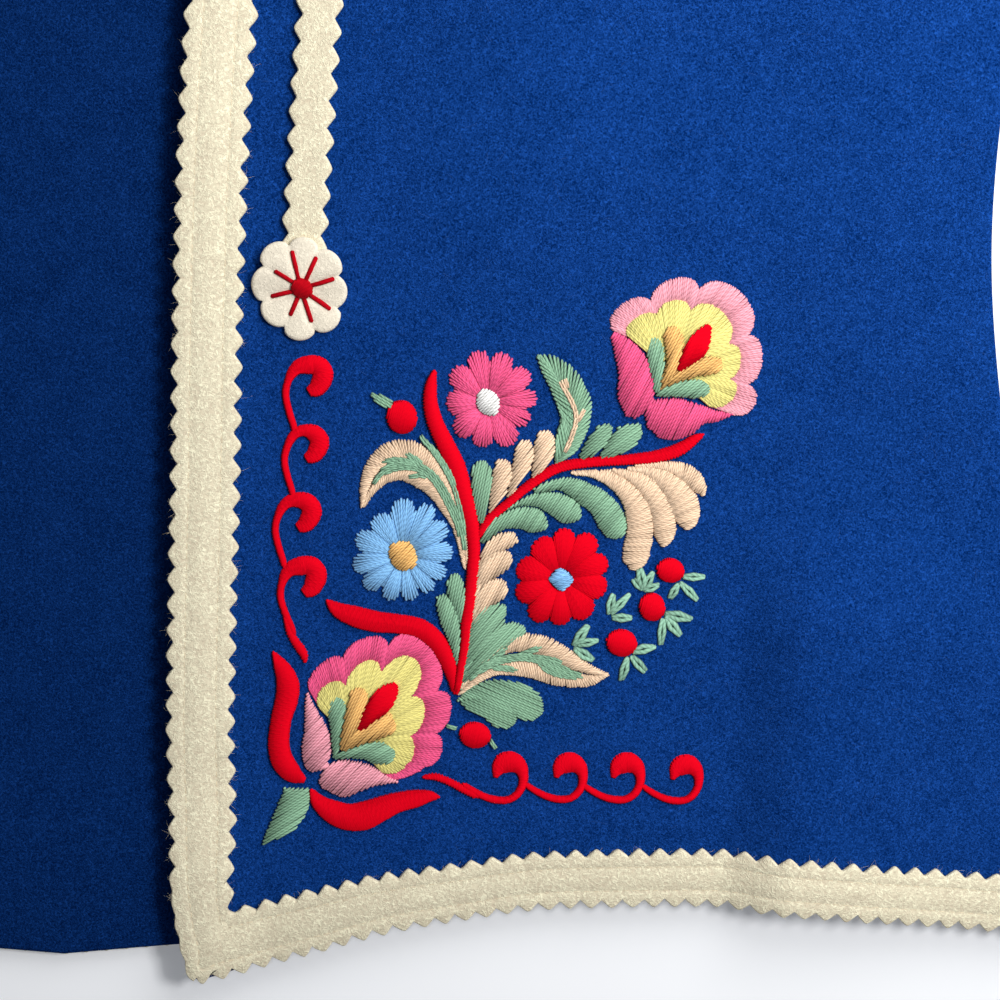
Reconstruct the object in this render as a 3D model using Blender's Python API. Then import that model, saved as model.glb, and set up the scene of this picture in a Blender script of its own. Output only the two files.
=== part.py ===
"""Embroidered folk vest, laid flat with its front up.

The garment lies in the XY plane: +X is the wearer's left, +Y runs from the hem to the neck, +Z is up. Each
panel, band, strip and flower is one surface with a Solidify wall. Lengths are in millimetres. "Across" is the
distance from the centre line and "along" is the height above the tip of the fronts' lower corners.
"""

import math

import bpy
import numpy as np
from mathutils import Vector
from mathutils.geometry import delaunay_2d_cdt

MM = 0.001

# Walls, and the room between layers
CLOTH = 2.0
BAND = 1.6
SEAM = 0.3
REST = 0.5

# At the side and shoulder seams the front and the back roll towards each other and meet
ROLL_RADIUS = 0.45
ROLL_RINGS = 2
SEAM_ROOM = 2 * ROLL_RADIUS + SEAM - REST
SEAM_REACH = 22.0
ARMHOLE_FADE = 30.0

# Cut edges of the panels: across, along
FRONT_EDGE = (
    (33.4, 4.0),
    (30.3, 20.0),
    (29.0, 40.0),
    (28.6, 62.0),
    (29.8, 95.0),
    (31.6, 130.0),
    (33.6, 175.0),
    (36.6, 220.0),
    (47.0, 310.0),
    (60.0, 410.0),
    (73.0, 500.0),
    (82.0, 553.0),
)
FRONT_HEM = (
    (33.4, 4.0),
    (45.0, 6.2),
    (60.0, 10.0),
    (86.0, 16.9),
    (99.0, 18.9),
    (118.0, 21.6),
    (140.0, 22.4),
    (165.0, 22.4),
    (182.0, 20.3),
    (205.0, 18.3),
    (245.0, 16.5),
)
BACK_HEM = (
    (0.0, 9.0),
    (26.0, 11.3),
    (60.0, 14.0),
    (100.0, 20.5),
    (140.0, 24.0),
    (165.0, 24.0),
    (205.0, 20.0),
    (245.0, 16.5),
)
SIDE = (
    (245.0, 16.5),
    (238.0, 90.0),
    (224.0, 190.0),
    (230.0, 265.0),
    (240.0, 335.0),
)
FRONT_ARMHOLE = (
    (240.0, 335.0),
    (222.0, 340.0),
    (199.0, 360.0),
    (180.0, 395.0),
    (170.0, 440.0),
    (171.0, 485.0),
    (180.0, 522.0),
)
BACK_ARMHOLE = (
    (240.0, 335.0),
    (224.0, 341.0),
    (204.0, 362.0),
    (188.0, 397.0),
    (179.0, 440.0),
    (177.0, 485.0),
    (180.0, 522.0),
)
SHOULDER = (
    (82.0, 553.0),
    (180.0, 522.0),
)
BACK_NECK = (
    (0.0, 533.0),
    (30.0, 535.0),
    (60.0, 541.5),
    (82.0, 553.0),
)
DART = (
    (64.2, 183.0),
    (66.9, 215.5),
    (69.2, 242.0),
    (80.0, 320.0),
    (97.0, 400.0),
    (116.0, 480.0),
    (131.0, 536.5),
)

# Grid lines, as shares of a panel's width and as lengths up its side seam and armhole
FRONT_COLUMNS = (0, 0.05, 0.14, 0.24, 0.34, 0.44, 0.53, 0.6, 0.63, 0.66, 0.69, 0.72, 0.755, 0.8, 0.86, 0.93, 1)
HALF_BACK_COLUMNS = (0, 0.12, 0.24, 0.34, 0.4444, 0.53, 0.61, 0.69, 0.77, 1)
HEM_ROWS = (0, 9, 17, 25, 33, 41, 50)
ROW_SPACING = 22.0
ARMHOLE_ROW_SPACING = 17.0
SHOULDER_ROW_SPACING = 9.0
SHOULDER_ROWS = 5

# Pinked edges: the teeth of the hem bands are a little finer
FRONT_PITCH = 6.25
HEM_PITCH = 5.2
TOOTH_DEPTH = 2.4
HEM_TOOTH_DEPTH = 2.1
TIP_OVER_CLOTH = 0.6
FRONT_BAND_WIDTH = 17.3
HEM_BAND_WIDTH = 15.3
NARROWING = (30.0, 75.0)
CORNER_REACH = 5.0
ROLLED_LENGTH = 26.0
ROLLED_TOOTH_SHARE = 0.3
STRIP_WIDTH = 12.0
STRIP_TOOTH_DEPTH = 1.8

# Felt flower over the lower end of the strip
PETALS = 8
FLOWER_CENTRE = (63.4, 176.5)
FLOWER_RADIUS = 12.0
NOTCH_SHARE = 0.8
FLOWER_TURN = 0.08
POINTS_PER_PETAL = 8
LOBE_BLUNTNESS = 0.6
FLOWER_RINGS = (0.3, 0.6)
FLOWER_CLIMB = 7.5
FLOWER_CLEAR = 1.2

# The back is lifted where its hem and neck bands lie under it
STEP_WIDTH = 17.0
STEP_RAMP = 32.0

# The fronts curl up a little at their edges and droop where they reach past the back's hem
EDGE_CURL = 0.5
EDGE_CURL_REACH = 18.0
DROOP = 0.9
DROOP_REACH = 16.0

# Soft folds: wearer's side (1 left, -1 right), crest from (across, along) to (across, along), width towards
# the front edge, width towards the side seam, height
FOLDS = (
    (1, 185.5, -12.0, 196.5, 128.0, 20.0, 52.0, 3.0),
    (1, 116.0, 150.0, 124.0, 345.0, 36.0, 38.0, 1.7),
    (1, 203.0, 128.0, 196.0, 300.0, 30.0, 34.0, 1.9),
    (1, 214.0, 318.0, 128.0, 400.0, 32.0, 34.0, 2.6),
    (1, 84.0, 350.0, 150.0, 505.0, 34.0, 36.0, 1.6),
    (-1, 196.0, -10.0, 184.0, 150.0, 26.0, 46.0, 2.6),
    (-1, 96.0, 120.0, 120.0, 300.0, 34.0, 36.0, 1.9),
    (-1, 208.0, 180.0, 190.0, 320.0, 30.0, 30.0, 1.6),
    (-1, 210.0, 330.0, 130.0, 385.0, 32.0, 32.0, 2.3),
    (-1, 100.0, 370.0, 140.0, 500.0, 34.0, 34.0, 1.8),
)
FOLD_FADE = 40.0

BLUE = (0.010, 0.060, 0.290, 1.0)
CREAM = (0.800, 0.720, 0.560, 1.0)
WHITE = (0.860, 0.830, 0.760, 1.0)
FELT_ROUGHNESS = 0.95

LEFT = 1
RIGHT = -1
BODY_MIDDLE = (0.0, 250.0)
POINTS_PER_ARC = 60
SLOPE_STEP = 0.5
NO_POINTS = np.empty((0, 2))


def smooth_step(value):
    value = np.clip(value, 0, 1)
    return value * value * (3 - 2 * value)


def run_along(line):
    """Length of the line up to each of its points."""
    return np.concatenate([[0], np.cumsum(np.linalg.norm(np.diff(line, axis=0), axis=1))])


def values_at_run(line, values, wanted):
    """Pairs of values that belong to the line's points, at the wanted lengths along it."""
    run = run_along(line)
    return np.column_stack([np.interp(wanted, run, values[:, k]) for k in range(2)])


def at_run(line, wanted):
    """Points of the line at the wanted lengths along it."""
    return values_at_run(line, line, wanted)


def at_share(line, shares):
    """Points of the line at shares of its length."""
    return at_run(line, np.asarray(shares) * run_along(line)[-1])


def curve(rows):
    """The rows joined by cubic arcs, as points 1 mm apart."""
    rows = np.array(rows, float)
    steps = np.linalg.norm(np.diff(rows, axis=0), axis=1)[:, None]
    slopes = np.diff(rows, axis=0) / steps
    inner = (slopes[:-1] * steps[1:] + slopes[1:] * steps[:-1]) / (steps[1:] + steps[:-1])
    tangents = np.vstack([slopes[:1], inner, slopes[-1:]])
    share = np.linspace(0, 1, POINTS_PER_ARC, endpoint=False)[:, None]
    arcs = [
        (2 * share**3 - 3 * share**2 + 1) * rows[k]
        + (share**3 - 2 * share**2 + share) * tangents[k] * steps[k]
        + (3 * share**2 - 2 * share**3) * rows[k + 1]
        + (share**3 - share**2) * tangents[k + 1] * steps[k]
        for k in range(len(steps))
    ]
    line = np.vstack(arcs + [rows[-1:]])
    length = run_along(line)[-1]
    return at_run(line, np.linspace(0, length, int(length) + 1))


def left_of(line):
    """Unit vectors that point to the left of the line as it runs."""
    ahead = np.gradient(line, axis=0)
    ahead /= np.linalg.norm(ahead, axis=1)[:, None]
    return np.column_stack([-ahead[:, 1], ahead[:, 0]])


def moved_left(line, distance):
    """The line moved sideways, by one distance or by one for each point."""
    return line + left_of(line) * np.reshape(distance, (-1, 1))


EDGE_LINE = curve(FRONT_EDGE)
FRONT_HEM_LINE = curve(FRONT_HEM)
BACK_HEM_LINE = curve(BACK_HEM)
SIDE_LINE = curve(SIDE)
BACK_NECK_LINE = curve(BACK_NECK)
SHOULDER_LINE = curve(SHOULDER)


def corner_rounded(first, second):
    """Two lines that meet in a corner, each ending in its half of a rounding arc."""
    start = first[-1 - int(CORNER_REACH)]
    end = second[int(CORNER_REACH)]
    corner = first[-1]
    share = np.linspace(0, 1, 11)[:, None]
    arc = (1 - share) ** 2 * start + 2 * share * (1 - share) * corner + share**2 * end
    before = np.vstack([first[: -1 - int(CORNER_REACH)], arc[:6]])
    after = np.vstack([arc[5:], second[int(CORNER_REACH) + 1 :]])
    return before, after


ROUNDED_DOWN, ROUNDED_OUT = corner_rounded(EDGE_LINE[::-1], FRONT_HEM_LINE)


def to_shoulder(across, along):
    """Distance down from the shoulder seam."""
    (x0, y0), (x1, y1) = SHOULDER
    return ((x1 - x0) * (y0 - along) + (across - x0) * (y1 - y0)) / math.hypot(x1 - x0, y1 - y0)


def back_top(across, along):
    """Height of the back's inside, which is lifted over the hem and neck bands."""
    from_hem = along - np.interp(across, BACK_HEM_LINE[:, 0], BACK_HEM_LINE[:, 1])
    below_neck = np.interp(across, BACK_NECK_LINE[:, 0], BACK_NECK_LINE[:, 1]) - along
    from_neck = np.hypot(np.maximum(across - SHOULDER[0][0], 0), below_neck)
    near = np.minimum(from_hem, from_neck)
    return CLOTH + (BAND + REST) * smooth_step(1 - (near - STEP_WIDTH) / STEP_RAMP)


def fold_height(across, along, side):
    """Sum of the soft folds of one front."""
    total = np.zeros_like(across)
    for fold_side, x0, y0, x1, y1, inner, outer, height in FOLDS:
        if fold_side != side:
            continue
        length = math.hypot(x1 - x0, y1 - y0)
        run = ((across - x0) * (x1 - x0) + (along - y0) * (y1 - y0)) / length
        off = ((across - x0) * (y1 - y0) - (along - y0) * (x1 - x0)) / length
        width = np.where(off > 0, outer, inner)
        fade = smooth_step(run / FOLD_FADE) * smooth_step((length - run) / FOLD_FADE)
        total += height * fade * smooth_step(1 - np.abs(off) / width)
    return total


def seam_room(across, along):
    """How much more room the two layers take beside the side and shoulder seams."""
    to_side = np.interp(along, SIDE_LINE[:, 1], SIDE_LINE[:, 0]) - across
    below_armhole = smooth_step(1 - (along - SIDE[-1][1]) / ARMHOLE_FADE)
    beside_side = smooth_step(1 - to_side / SEAM_REACH) * below_armhole
    beside_shoulder = smooth_step(1 - to_shoulder(across, along) / SEAM_REACH)
    return SEAM_ROOM * np.maximum(beside_side, beside_shoulder)


def front_under(across, along, side):
    """Height of a front's underside."""
    past_hem = np.interp(across, BACK_HEM_LINE[:, 0], BACK_HEM_LINE[:, 1]) - along
    from_edge = across - np.interp(along, EDGE_LINE[:, 1], EDGE_LINE[:, 0])
    curl = EDGE_CURL * smooth_step(1 - from_edge / EDGE_CURL_REACH)
    droop = DROOP * smooth_step(past_hem / DROOP_REACH)
    folds = fold_height(across, along, side)
    return back_top(across, along) + REST + seam_room(across, along) + folds + curl - droop


def front_top(across, along, side):
    """Height of a front's outside: the wall is CLOTH thick square to its slope."""
    here = front_under(across, along, side)
    slope_across = (front_under(across + SLOPE_STEP, along, side) - here) / SLOPE_STEP
    slope_along = (front_under(across, along + SLOPE_STEP, side) - here) / SLOPE_STEP
    return here + CLOTH * np.sqrt(1 + slope_across**2 + slope_along**2)


def material(name, colour):
    made = bpy.data.materials.new(name)
    made.use_nodes = True
    shader = made.node_tree.nodes["Principled BSDF"]
    shader.inputs["Base Color"].default_value = colour
    shader.inputs["Roughness"].default_value = FELT_ROUGHNESS
    shader.inputs["Metallic"].default_value = 0.0
    made.diffuse_color = colour
    return made


def add_wall(name, points, faces, wall, cloth):
    """An object from one surface that faces up, thickened upwards, or downwards where wall is negative."""
    mesh = bpy.data.meshes.new(name)
    mesh.from_pydata((points * MM).tolist(), [], faces)
    mesh.update()
    obj = bpy.data.objects.new(name, mesh)
    bpy.context.collection.objects.link(obj)
    mesh.materials.append(cloth)
    solid = obj.modifiers.new("Wall", "SOLIDIFY")
    solid.thickness = abs(wall) * MM
    solid.offset = math.copysign(1.0, wall)
    solid.use_even_offset = True
    solid.use_quality_normals = True
    return obj


def patch(left, right, bottom, top, columns, rows):
    """Coons patch between four sides that are given at the shares in columns and rows."""
    s = np.reshape(columns, (1, -1, 1))
    t = np.reshape(rows, (-1, 1, 1))
    between_sides = (1 - s) * left[:, None] + s * right[:, None]
    between_ends = (1 - t) * bottom[None] + t * top[None]
    low = (1 - s) * bottom[0] + s * bottom[-1]
    high = (1 - s) * top[0] + s * top[-1]
    return between_sides + between_ends - (1 - t) * low - t * high


def row_shares(armhole):
    """Shares of a panel's length: close together at the hem and shoulder, and one row at the underarm."""
    side_length = run_along(SIDE_LINE)[-1]
    armhole_length = run_along(armhole)[-1]
    plain = side_length - HEM_ROWS[-1]
    count = round(plain / ROW_SPACING)
    below = list(HEM_ROWS) + [HEM_ROWS[-1] + plain * (k + 1) / count for k in range(count)]
    close = armhole_length - SHOULDER_ROWS * SHOULDER_ROW_SPACING
    count = round(close / ARMHOLE_ROW_SPACING)
    above = [side_length + close * (k + 1) / count for k in range(count)]
    above += [above[-1] + SHOULDER_ROW_SPACING * (k + 1) for k in range(SHOULDER_ROWS)]
    return np.array(below + above) / (side_length + armhole_length), len(below)


def roll_rings(edge, outward, angles, turn):
    """Rings of points past an edge that bend it by the angles, up where turn is 1 and down where it is -1."""
    length = ROLL_RADIUS * math.pi / 2
    rings = []
    for k in range(1, ROLL_RINGS + 1):
        bend = angles * k / ROLL_RINGS
        run = length * k / ROLL_RINGS
        level = run * np.sinc(bend / math.pi)
        rise = run * bend / 2 * np.sinc(bend / 2 / math.pi) ** 2
        rings.append(np.column_stack([edge[:, :2] + outward * level[:, None], edge[:, 2] + turn * rise]))
    return rings


def outward_of(line, away_from):
    """Unit vectors square to the line, on the side away from a point."""
    square = left_of(line)
    facing = np.sum(square * (line - np.asarray(away_from)), axis=1)
    return square * np.sign(facing)[:, None]


def grid_faces(rows, columns):
    """Quads of a grid whose first point is at the hem end nearest the wearer's right."""
    return [
        (r * columns + c, r * columns + c + 1, (r + 1) * columns + c + 1, (r + 1) * columns + c)
        for r in range(rows - 1)
        for c in range(columns - 1)
    ]


def joined(first, second):
    return np.vstack([first, second[1:]])


def front_grid():
    """Plan points of a left front, with the index of its underarm row."""
    armhole = curve(FRONT_ARMHOLE)
    rows, side_rows = row_shares(armhole)
    left = at_share(EDGE_LINE, rows)
    right = at_share(joined(SIDE_LINE, armhole), rows)
    bottom = at_share(FRONT_HEM_LINE, FRONT_COLUMNS)
    left[0] = bottom[0] = ROUNDED_DOWN[-1]
    top = at_share(SHOULDER_LINE, FRONT_COLUMNS)
    return patch(left, right, bottom, top, FRONT_COLUMNS, rows), side_rows


def back_grid():
    armhole = curve(BACK_ARMHOLE)
    rows, side_rows = row_shares(armhole)
    right = at_share(joined(SIDE_LINE, armhole), rows)
    left = right * (-1, 1)
    half = np.array(HALF_BACK_COLUMNS)
    shares = np.concatenate([(1 - half[::-1]) / 2, (1 + half[1:]) / 2])
    bottom = at_share(joined(BACK_HEM_LINE[::-1] * (-1, 1), BACK_HEM_LINE), shares)
    neck_share = SHOULDER[0][0] / SHOULDER[1][0]
    at_neck = at_share(BACK_NECK_LINE, half[half <= neck_share + 0.001] / neck_share)
    at_shoulder = at_share(SHOULDER_LINE, (half[half > neck_share + 0.001] - neck_share) / (1 - neck_share))
    top_half = np.vstack([at_neck, at_shoulder])
    top = joined(top_half[::-1] * (-1, 1), top_half)
    on_shoulder = np.abs(top[:, 0]) > SHOULDER[0][0] - 1
    return patch(left, right, bottom, top, shares, rows), side_rows, on_shoulder


def with_side_roll(grid, side_rows, turn):
    """The grid with rings past its last column, which bend down or up along the side seam."""
    edge = grid[:, -1]
    angles = np.where(np.arange(len(edge)) < side_rows, math.pi / 2, 0)
    rings = roll_rings(edge, outward_of(edge[:, :2], BODY_MIDDLE), angles, turn)
    return np.concatenate([grid] + [ring[:, None] for ring in rings], axis=1)


def with_shoulder_roll(grid, on_shoulder, turn):
    """The grid with rings past its last row, which bend down or up along the shoulder seam."""
    edge = grid[-1]
    angles = np.where(on_shoulder, math.pi / 2, 0)
    rings = roll_rings(edge, outward_of(edge[:, :2], BODY_MIDDLE), angles, turn)
    return np.concatenate([grid] + [ring[None] for ring in rings])


def mirrored(grid):
    return grid[:, ::-1] * (-1, 1, 1)


def make_front(name, side, cloth):
    plan, side_rows = front_grid()
    heights = front_under(plan[..., 0], plan[..., 1], side)
    grid = np.concatenate([plan, heights[..., None]], axis=2)
    grid = with_side_roll(grid, side_rows, -1)
    grid = with_shoulder_roll(grid, np.ones(grid.shape[1], bool), -1)
    if side == RIGHT:
        grid = mirrored(grid)
    rows, columns = grid.shape[:2]
    return add_wall(name, grid.reshape(-1, 3), grid_faces(rows, columns), CLOTH, cloth)


def make_back(cloth):
    plan, side_rows, on_shoulder = back_grid()
    heights = back_top(np.abs(plan[..., 0]), plan[..., 1])
    grid = np.concatenate([plan, heights[..., None]], axis=2)
    grid = mirrored(with_side_roll(grid, side_rows, 1))
    grid = mirrored(with_side_roll(grid, side_rows, 1))
    ends = np.full(ROLL_RINGS, True)
    grid = with_shoulder_roll(grid, np.concatenate([ends, on_shoulder, ends]), 1)
    rows, columns = grid.shape[:2]
    return add_wall("back", grid.reshape(-1, 3), grid_faces(rows, columns), -CLOTH, cloth)


def pinked(line, pitch, depth):
    """The line cut into teeth: the tips lie on it and the valleys a depth to its left."""
    length = run_along(line)[-1]
    count = max(1, round(length / pitch))
    places = np.linspace(0, length, 2 * count + 1)
    inward = np.resize([1.0, 0.0], len(places))
    square = values_at_run(line, left_of(line), places)
    return at_run(line, places) + square * (np.broadcast_to(depth, inward.shape) * inward)[:, None]


def plate(name, outline, inner, height, wall, cloth):
    """A flat piece with the given outline and inner points, laid on a height function of its points."""
    points = [Vector(point) for point in np.vstack([outline, inner])]
    found = delaunay_2d_cdt(points, [], [list(range(len(outline)))], 1, 1e-4)
    plan = np.array([tuple(point) for point in found[0]])
    heights = height(plan[:, 0], plan[:, 1])
    return add_wall(name, np.column_stack([plan, heights]), found[2], wall, cloth)


def band_outline():
    """Outline of the left edge band: down the neckline and front edge, along the hem, and back inside."""
    outer_down = moved_left(ROUNDED_DOWN, -TIP_OVER_CLOTH)
    outer_out = moved_left(ROUNDED_OUT, -TIP_OVER_CLOTH)
    count = 2 * round(run_along(outer_down)[-1] / FRONT_PITCH) + 1
    left_to_go = run_along(outer_down)[-1] * np.linspace(1, 0, count)
    rolled = smooth_step((left_to_go - ROLLED_LENGTH) / FRONT_PITCH)
    depth = TOOTH_DEPTH * (ROLLED_TOOTH_SHARE + (1 - ROLLED_TOOTH_SHARE) * rolled)
    outer = np.vstack(
        [
            pinked(outer_down, FRONT_PITCH, depth),
            pinked(outer_out, HEM_PITCH, HEM_TOOTH_DEPTH)[1:],
        ]
    )
    edge_down = EDGE_LINE[::-1]
    low, high = NARROWING
    widening = smooth_step((edge_down[:, 1] - low) / (high - low))
    width = HEM_BAND_WIDTH + (FRONT_BAND_WIDTH - HEM_BAND_WIDTH) * widening - TIP_OVER_CLOTH
    inner_down = moved_left(edge_down, width)
    inner_out = moved_left(FRONT_HEM_LINE, HEM_BAND_WIDTH - TIP_OVER_CLOTH)
    above = inner_down[:, 1] > np.interp(inner_down[:, 0], inner_out[:, 0], inner_out[:, 1])
    notch_across = inner_down[above][-1, 0]
    inner_out = inner_out[inner_out[:, 0] > notch_across]
    inner = np.vstack(
        [
            pinked(inner_down[above][::-1], FRONT_PITCH, TOOTH_DEPTH)[::-1],
            pinked(inner_out[::-1], HEM_PITCH, HEM_TOOTH_DEPTH)[::-1][1:],
        ]
    )
    return np.vstack([outer, inner[::-1]])


def strip_outline(line, width, pitch, depth):
    """Outline of a strip with both edges pinked, centred on the line."""
    right = moved_left(line, -width / 2)
    left = moved_left(line, width / 2)
    return np.vstack([pinked(right, pitch, depth), pinked(left[::-1], pitch, depth)])


def flower_outline():
    """Petals as round lobes between notches, as distances from the centre."""
    turn = np.arange(PETALS * POINTS_PER_PETAL) / POINTS_PER_PETAL
    lobe = np.abs(np.sin(math.pi * turn)) ** LOBE_BLUNTNESS
    distance = FLOWER_RADIUS * (NOTCH_SHARE + (1 - NOTCH_SHARE) * lobe)
    angle = 2 * math.pi * turn / PETALS + FLOWER_TURN
    ring = np.column_stack([np.cos(angle), np.sin(angle)])
    rings = [ring[:: POINTS_PER_PETAL // 2] * FLOWER_RADIUS * share for share in FLOWER_RINGS]
    return ring * distance[:, None] + FLOWER_CENTRE, np.vstack(rings + [np.zeros((1, 2))]) + FLOWER_CENTRE


def on_front(side, room):
    """Height function of what lies on a front."""

    def height(across, along):
        return front_top(np.abs(across), along, side) + room

    return height


def on_strip_end(side):
    """Height function of the flower, which climbs over the end of the strip."""

    def height(across, along):
        below_strip = DART[0][1] - FLOWER_CLEAR - along
        over_strip = smooth_step(1 - below_strip / FLOWER_CLIMB)
        return on_front(side, REST)(across, along) + (BAND + REST) * over_strip

    return height


def mirror_plan(outline, side):
    """The outline on the wearer's left or right, in anticlockwise order."""
    return outline if side == LEFT else outline[::-1] * (-1, 1)


def make_trims(side, word, cream, white):
    """Edge band, dart strip and felt flower of one front."""
    plate(f"edge_band_{word}", mirror_plan(band_outline(), side), NO_POINTS, on_front(side, REST), BAND, cream)
    dart = curve(DART)
    strip = strip_outline(dart, STRIP_WIDTH, FRONT_PITCH, STRIP_TOOTH_DEPTH)
    plate(f"dart_strip_{word}", mirror_plan(strip, side), NO_POINTS, on_front(side, REST), BAND, cream)
    petals, inner = flower_outline()
    petals = mirror_plan(petals, side)
    plate(f"felt_daisy_{word}", petals, mirror_plan(inner, side), on_strip_end(side), BAND, white)


def back_band(name, line, pitch, depth, cream):
    """A band under the back, on the ground: its outer tips show past the cloth, which is to the line's left."""
    outer = pinked(moved_left(line, -TIP_OVER_CLOTH), pitch, depth)
    inner = pinked(moved_left(line, HEM_BAND_WIDTH - TIP_OVER_CLOTH)[::-1], pitch, depth)
    outline = np.vstack([outer, inner])
    plate(name, outline, NO_POINTS, lambda across, along: np.zeros_like(across), BAND, cream)


def rest_on_ground(objects):
    """Moves the points so that the whole vest's box is centred on the origin, with its underside at 0."""
    bpy.context.view_layer.update()
    graph = bpy.context.evaluated_depsgraph_get()
    corners = []
    for obj in objects:
        mesh = obj.evaluated_get(graph).to_mesh()
        points = np.empty(3 * len(mesh.vertices), np.float32)
        mesh.vertices.foreach_get("co", points)
        points = points.reshape(-1, 3)
        corners += [points.min(axis=0), points.max(axis=0)]
    low = np.min(corners, axis=0)
    high = np.max(corners, axis=0)
    middle = (low + high) / 2
    for obj in objects:
        obj.location = (0, -middle[1], -low[2])


def main():
    for obj in list(bpy.data.objects):
        bpy.data.objects.remove(obj, do_unlink=True)
    blue = material("blue_wool", BLUE)
    cream = material("cream_felt", CREAM)
    white = material("white_felt", WHITE)
    make_back(blue)
    make_front("front_left", LEFT, blue)
    make_front("front_right", RIGHT, blue)
    make_trims(LEFT, "left", cream, white)
    make_trims(RIGHT, "right", cream, white)
    hem = joined(BACK_HEM_LINE[::-1] * (-1, 1), BACK_HEM_LINE)
    back_band("back_hem_band", hem, HEM_PITCH, HEM_TOOTH_DEPTH, cream)
    neck = joined(BACK_NECK_LINE[::-1], BACK_NECK_LINE * (-1, 1))
    back_band("back_neck_band", neck, FRONT_PITCH, TOOTH_DEPTH, cream)
    rest_on_ground(list(bpy.data.objects))


main()
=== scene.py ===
"""The embroidered folk vest dressed for rendering: wool panels, pinked felt bands, felt flowers, satin stitch
embroidery, machine sewing and loose fibres, laid on a pale table.

Everything is worked out in millimetres on the laid garment: "across" is the distance from the centre line and
"along" the height above the tip of the fronts' lower corners. The right front mirrors the left one.
"""

import math

import bpy
import numpy as np
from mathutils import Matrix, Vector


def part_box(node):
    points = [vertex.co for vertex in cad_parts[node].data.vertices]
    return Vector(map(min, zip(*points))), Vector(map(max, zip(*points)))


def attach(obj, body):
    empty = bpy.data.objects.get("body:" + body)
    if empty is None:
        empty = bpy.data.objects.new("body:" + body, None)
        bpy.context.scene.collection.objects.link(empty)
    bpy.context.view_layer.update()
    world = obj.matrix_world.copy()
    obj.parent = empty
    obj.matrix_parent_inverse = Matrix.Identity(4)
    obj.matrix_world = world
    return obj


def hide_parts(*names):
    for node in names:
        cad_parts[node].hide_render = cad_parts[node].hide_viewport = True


bl_info = {
    "name": "Embroidered Folk Vest",
    "version": (1, 0, 0),
    "blender": (4, 5, 0),
    "location": "View3D > Sidebar > Folk Vest",
    "description": "Wool vest with pinked felt bands, felt flowers and satin stitch embroidery",
    "category": "Add Mesh",
}

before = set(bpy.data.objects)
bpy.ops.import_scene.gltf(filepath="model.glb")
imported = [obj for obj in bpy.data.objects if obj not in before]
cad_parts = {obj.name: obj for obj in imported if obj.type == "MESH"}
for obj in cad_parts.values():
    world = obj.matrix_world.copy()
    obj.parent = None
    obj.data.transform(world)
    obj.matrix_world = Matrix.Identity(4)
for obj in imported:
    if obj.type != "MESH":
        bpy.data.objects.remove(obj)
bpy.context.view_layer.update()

MM = 0.001
LEFT = 1
RIGHT = -1
SIDES = ((LEFT, "left"), (RIGHT, "right"))
ACROSS_MIRRORED = (-1, 1)
MIRRORED = (-1, 1, 1)
QUARTER_TURN = math.pi / 2

# Thickness of the wool and of the felt
CLOTH = 2.0
FELT = 1.6

# Cut edges of the panels: across, along
FRONT_EDGE = (
    (33.4, 4.0), (30.3, 20.0), (29.0, 40.0), (28.6, 62.0), (29.8, 95.0), (31.6, 130.0), (33.6, 175.0),
    (36.6, 220.0), (47.0, 310.0), (60.0, 410.0), (73.0, 500.0), (82.0, 553.0),
)
FRONT_HEM = (
    (33.4, 4.0), (45.0, 6.4), (60.0, 10.3), (86.0, 17.5), (99.0, 19.8), (118.0, 22.8), (140.0, 23.8),
    (165.0, 23.9), (182.0, 23.4), (205.0, 21.2), (245.0, 16.5),
)
BACK_HEM = (
    (0.0, 9.0), (26.0, 11.3), (60.0, 14.0), (100.0, 20.5), (140.0, 24.0), (165.0, 24.0), (205.0, 20.0),
    (245.0, 16.5),
)
SIDE = ((245.0, 16.5), (238.0, 90.0), (224.0, 190.0), (230.0, 265.0), (240.0, 335.0))
FRONT_ARMHOLE = (
    (240.0, 335.0), (222.0, 340.0), (199.0, 360.0), (180.0, 395.0), (170.0, 440.0), (171.0, 485.0),
    (180.0, 522.0),
)
BACK_ARMHOLE = (
    (240.0, 335.0), (224.0, 341.0), (204.0, 362.0), (188.0, 397.0), (179.0, 440.0), (177.0, 485.0),
    (180.0, 522.0),
)
SHOULDER = ((82.0, 553.0), (180.0, 522.0))
BACK_NECK = ((0.0, 533.0), (30.0, 535.0), (60.0, 541.5), (82.0, 553.0))
DART = (
    (64.2, 183.0), (66.9, 215.5), (69.2, 242.0), (80.0, 320.0), (97.0, 400.0), (116.0, 480.0),
    (131.0, 536.5),
)

# Room between layers, how the seams roll, and where the back is lifted over its own bands
SEAM = 0.3
REST = 0.5
FELT_GAP = 0.1
ROLL_RADIUS = 0.45
ROLL_RINGS = 5
ARMHOLE_ROLL = 14.0
NECK_ROLL = 3.0
SEAM_ROOM = 2 * ROLL_RADIUS + SEAM - REST
SEAM_REACH = 22.0
ARMHOLE_FADE = 30.0
STEP_WIDTH = 17.0
STEP_RAMP = 32.0
EDGE_CURL = 3.0
EDGE_CURL_REACH = 24.0
DROOP = 0.9
DROOP_REACH = 16.0
BACK_STEP = 2.1
SLOPE_STEP = 0.5

# Grid of the panels: widths that cells are counted over, narrow cells at the border, size of the back's cells
# in front cells, and a point inside that the edges face away from
FRONT_SPAN = 210.0
BACK_SPAN = 440.0
RIM = (0.4, 1.1)
BACK_CELL = 1.3
INNER_POINT = (0.0, 250.0)

# Cut edge of the wool: how far it is pressed down towards the border, as shares of the wall, how far out and
# how high its side bulges, how far in it is cut under the bands, and over what that eases
EDGE_PRESSED = (0.30, 0.06, 0.0)
EDGE_BULGE = 0.22
BULGE_HEIGHT = 0.45
CUT_IN = 1.1
CUT_IN_EASE = 22.0
CUT_IN_SHARE = 0.05

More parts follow.
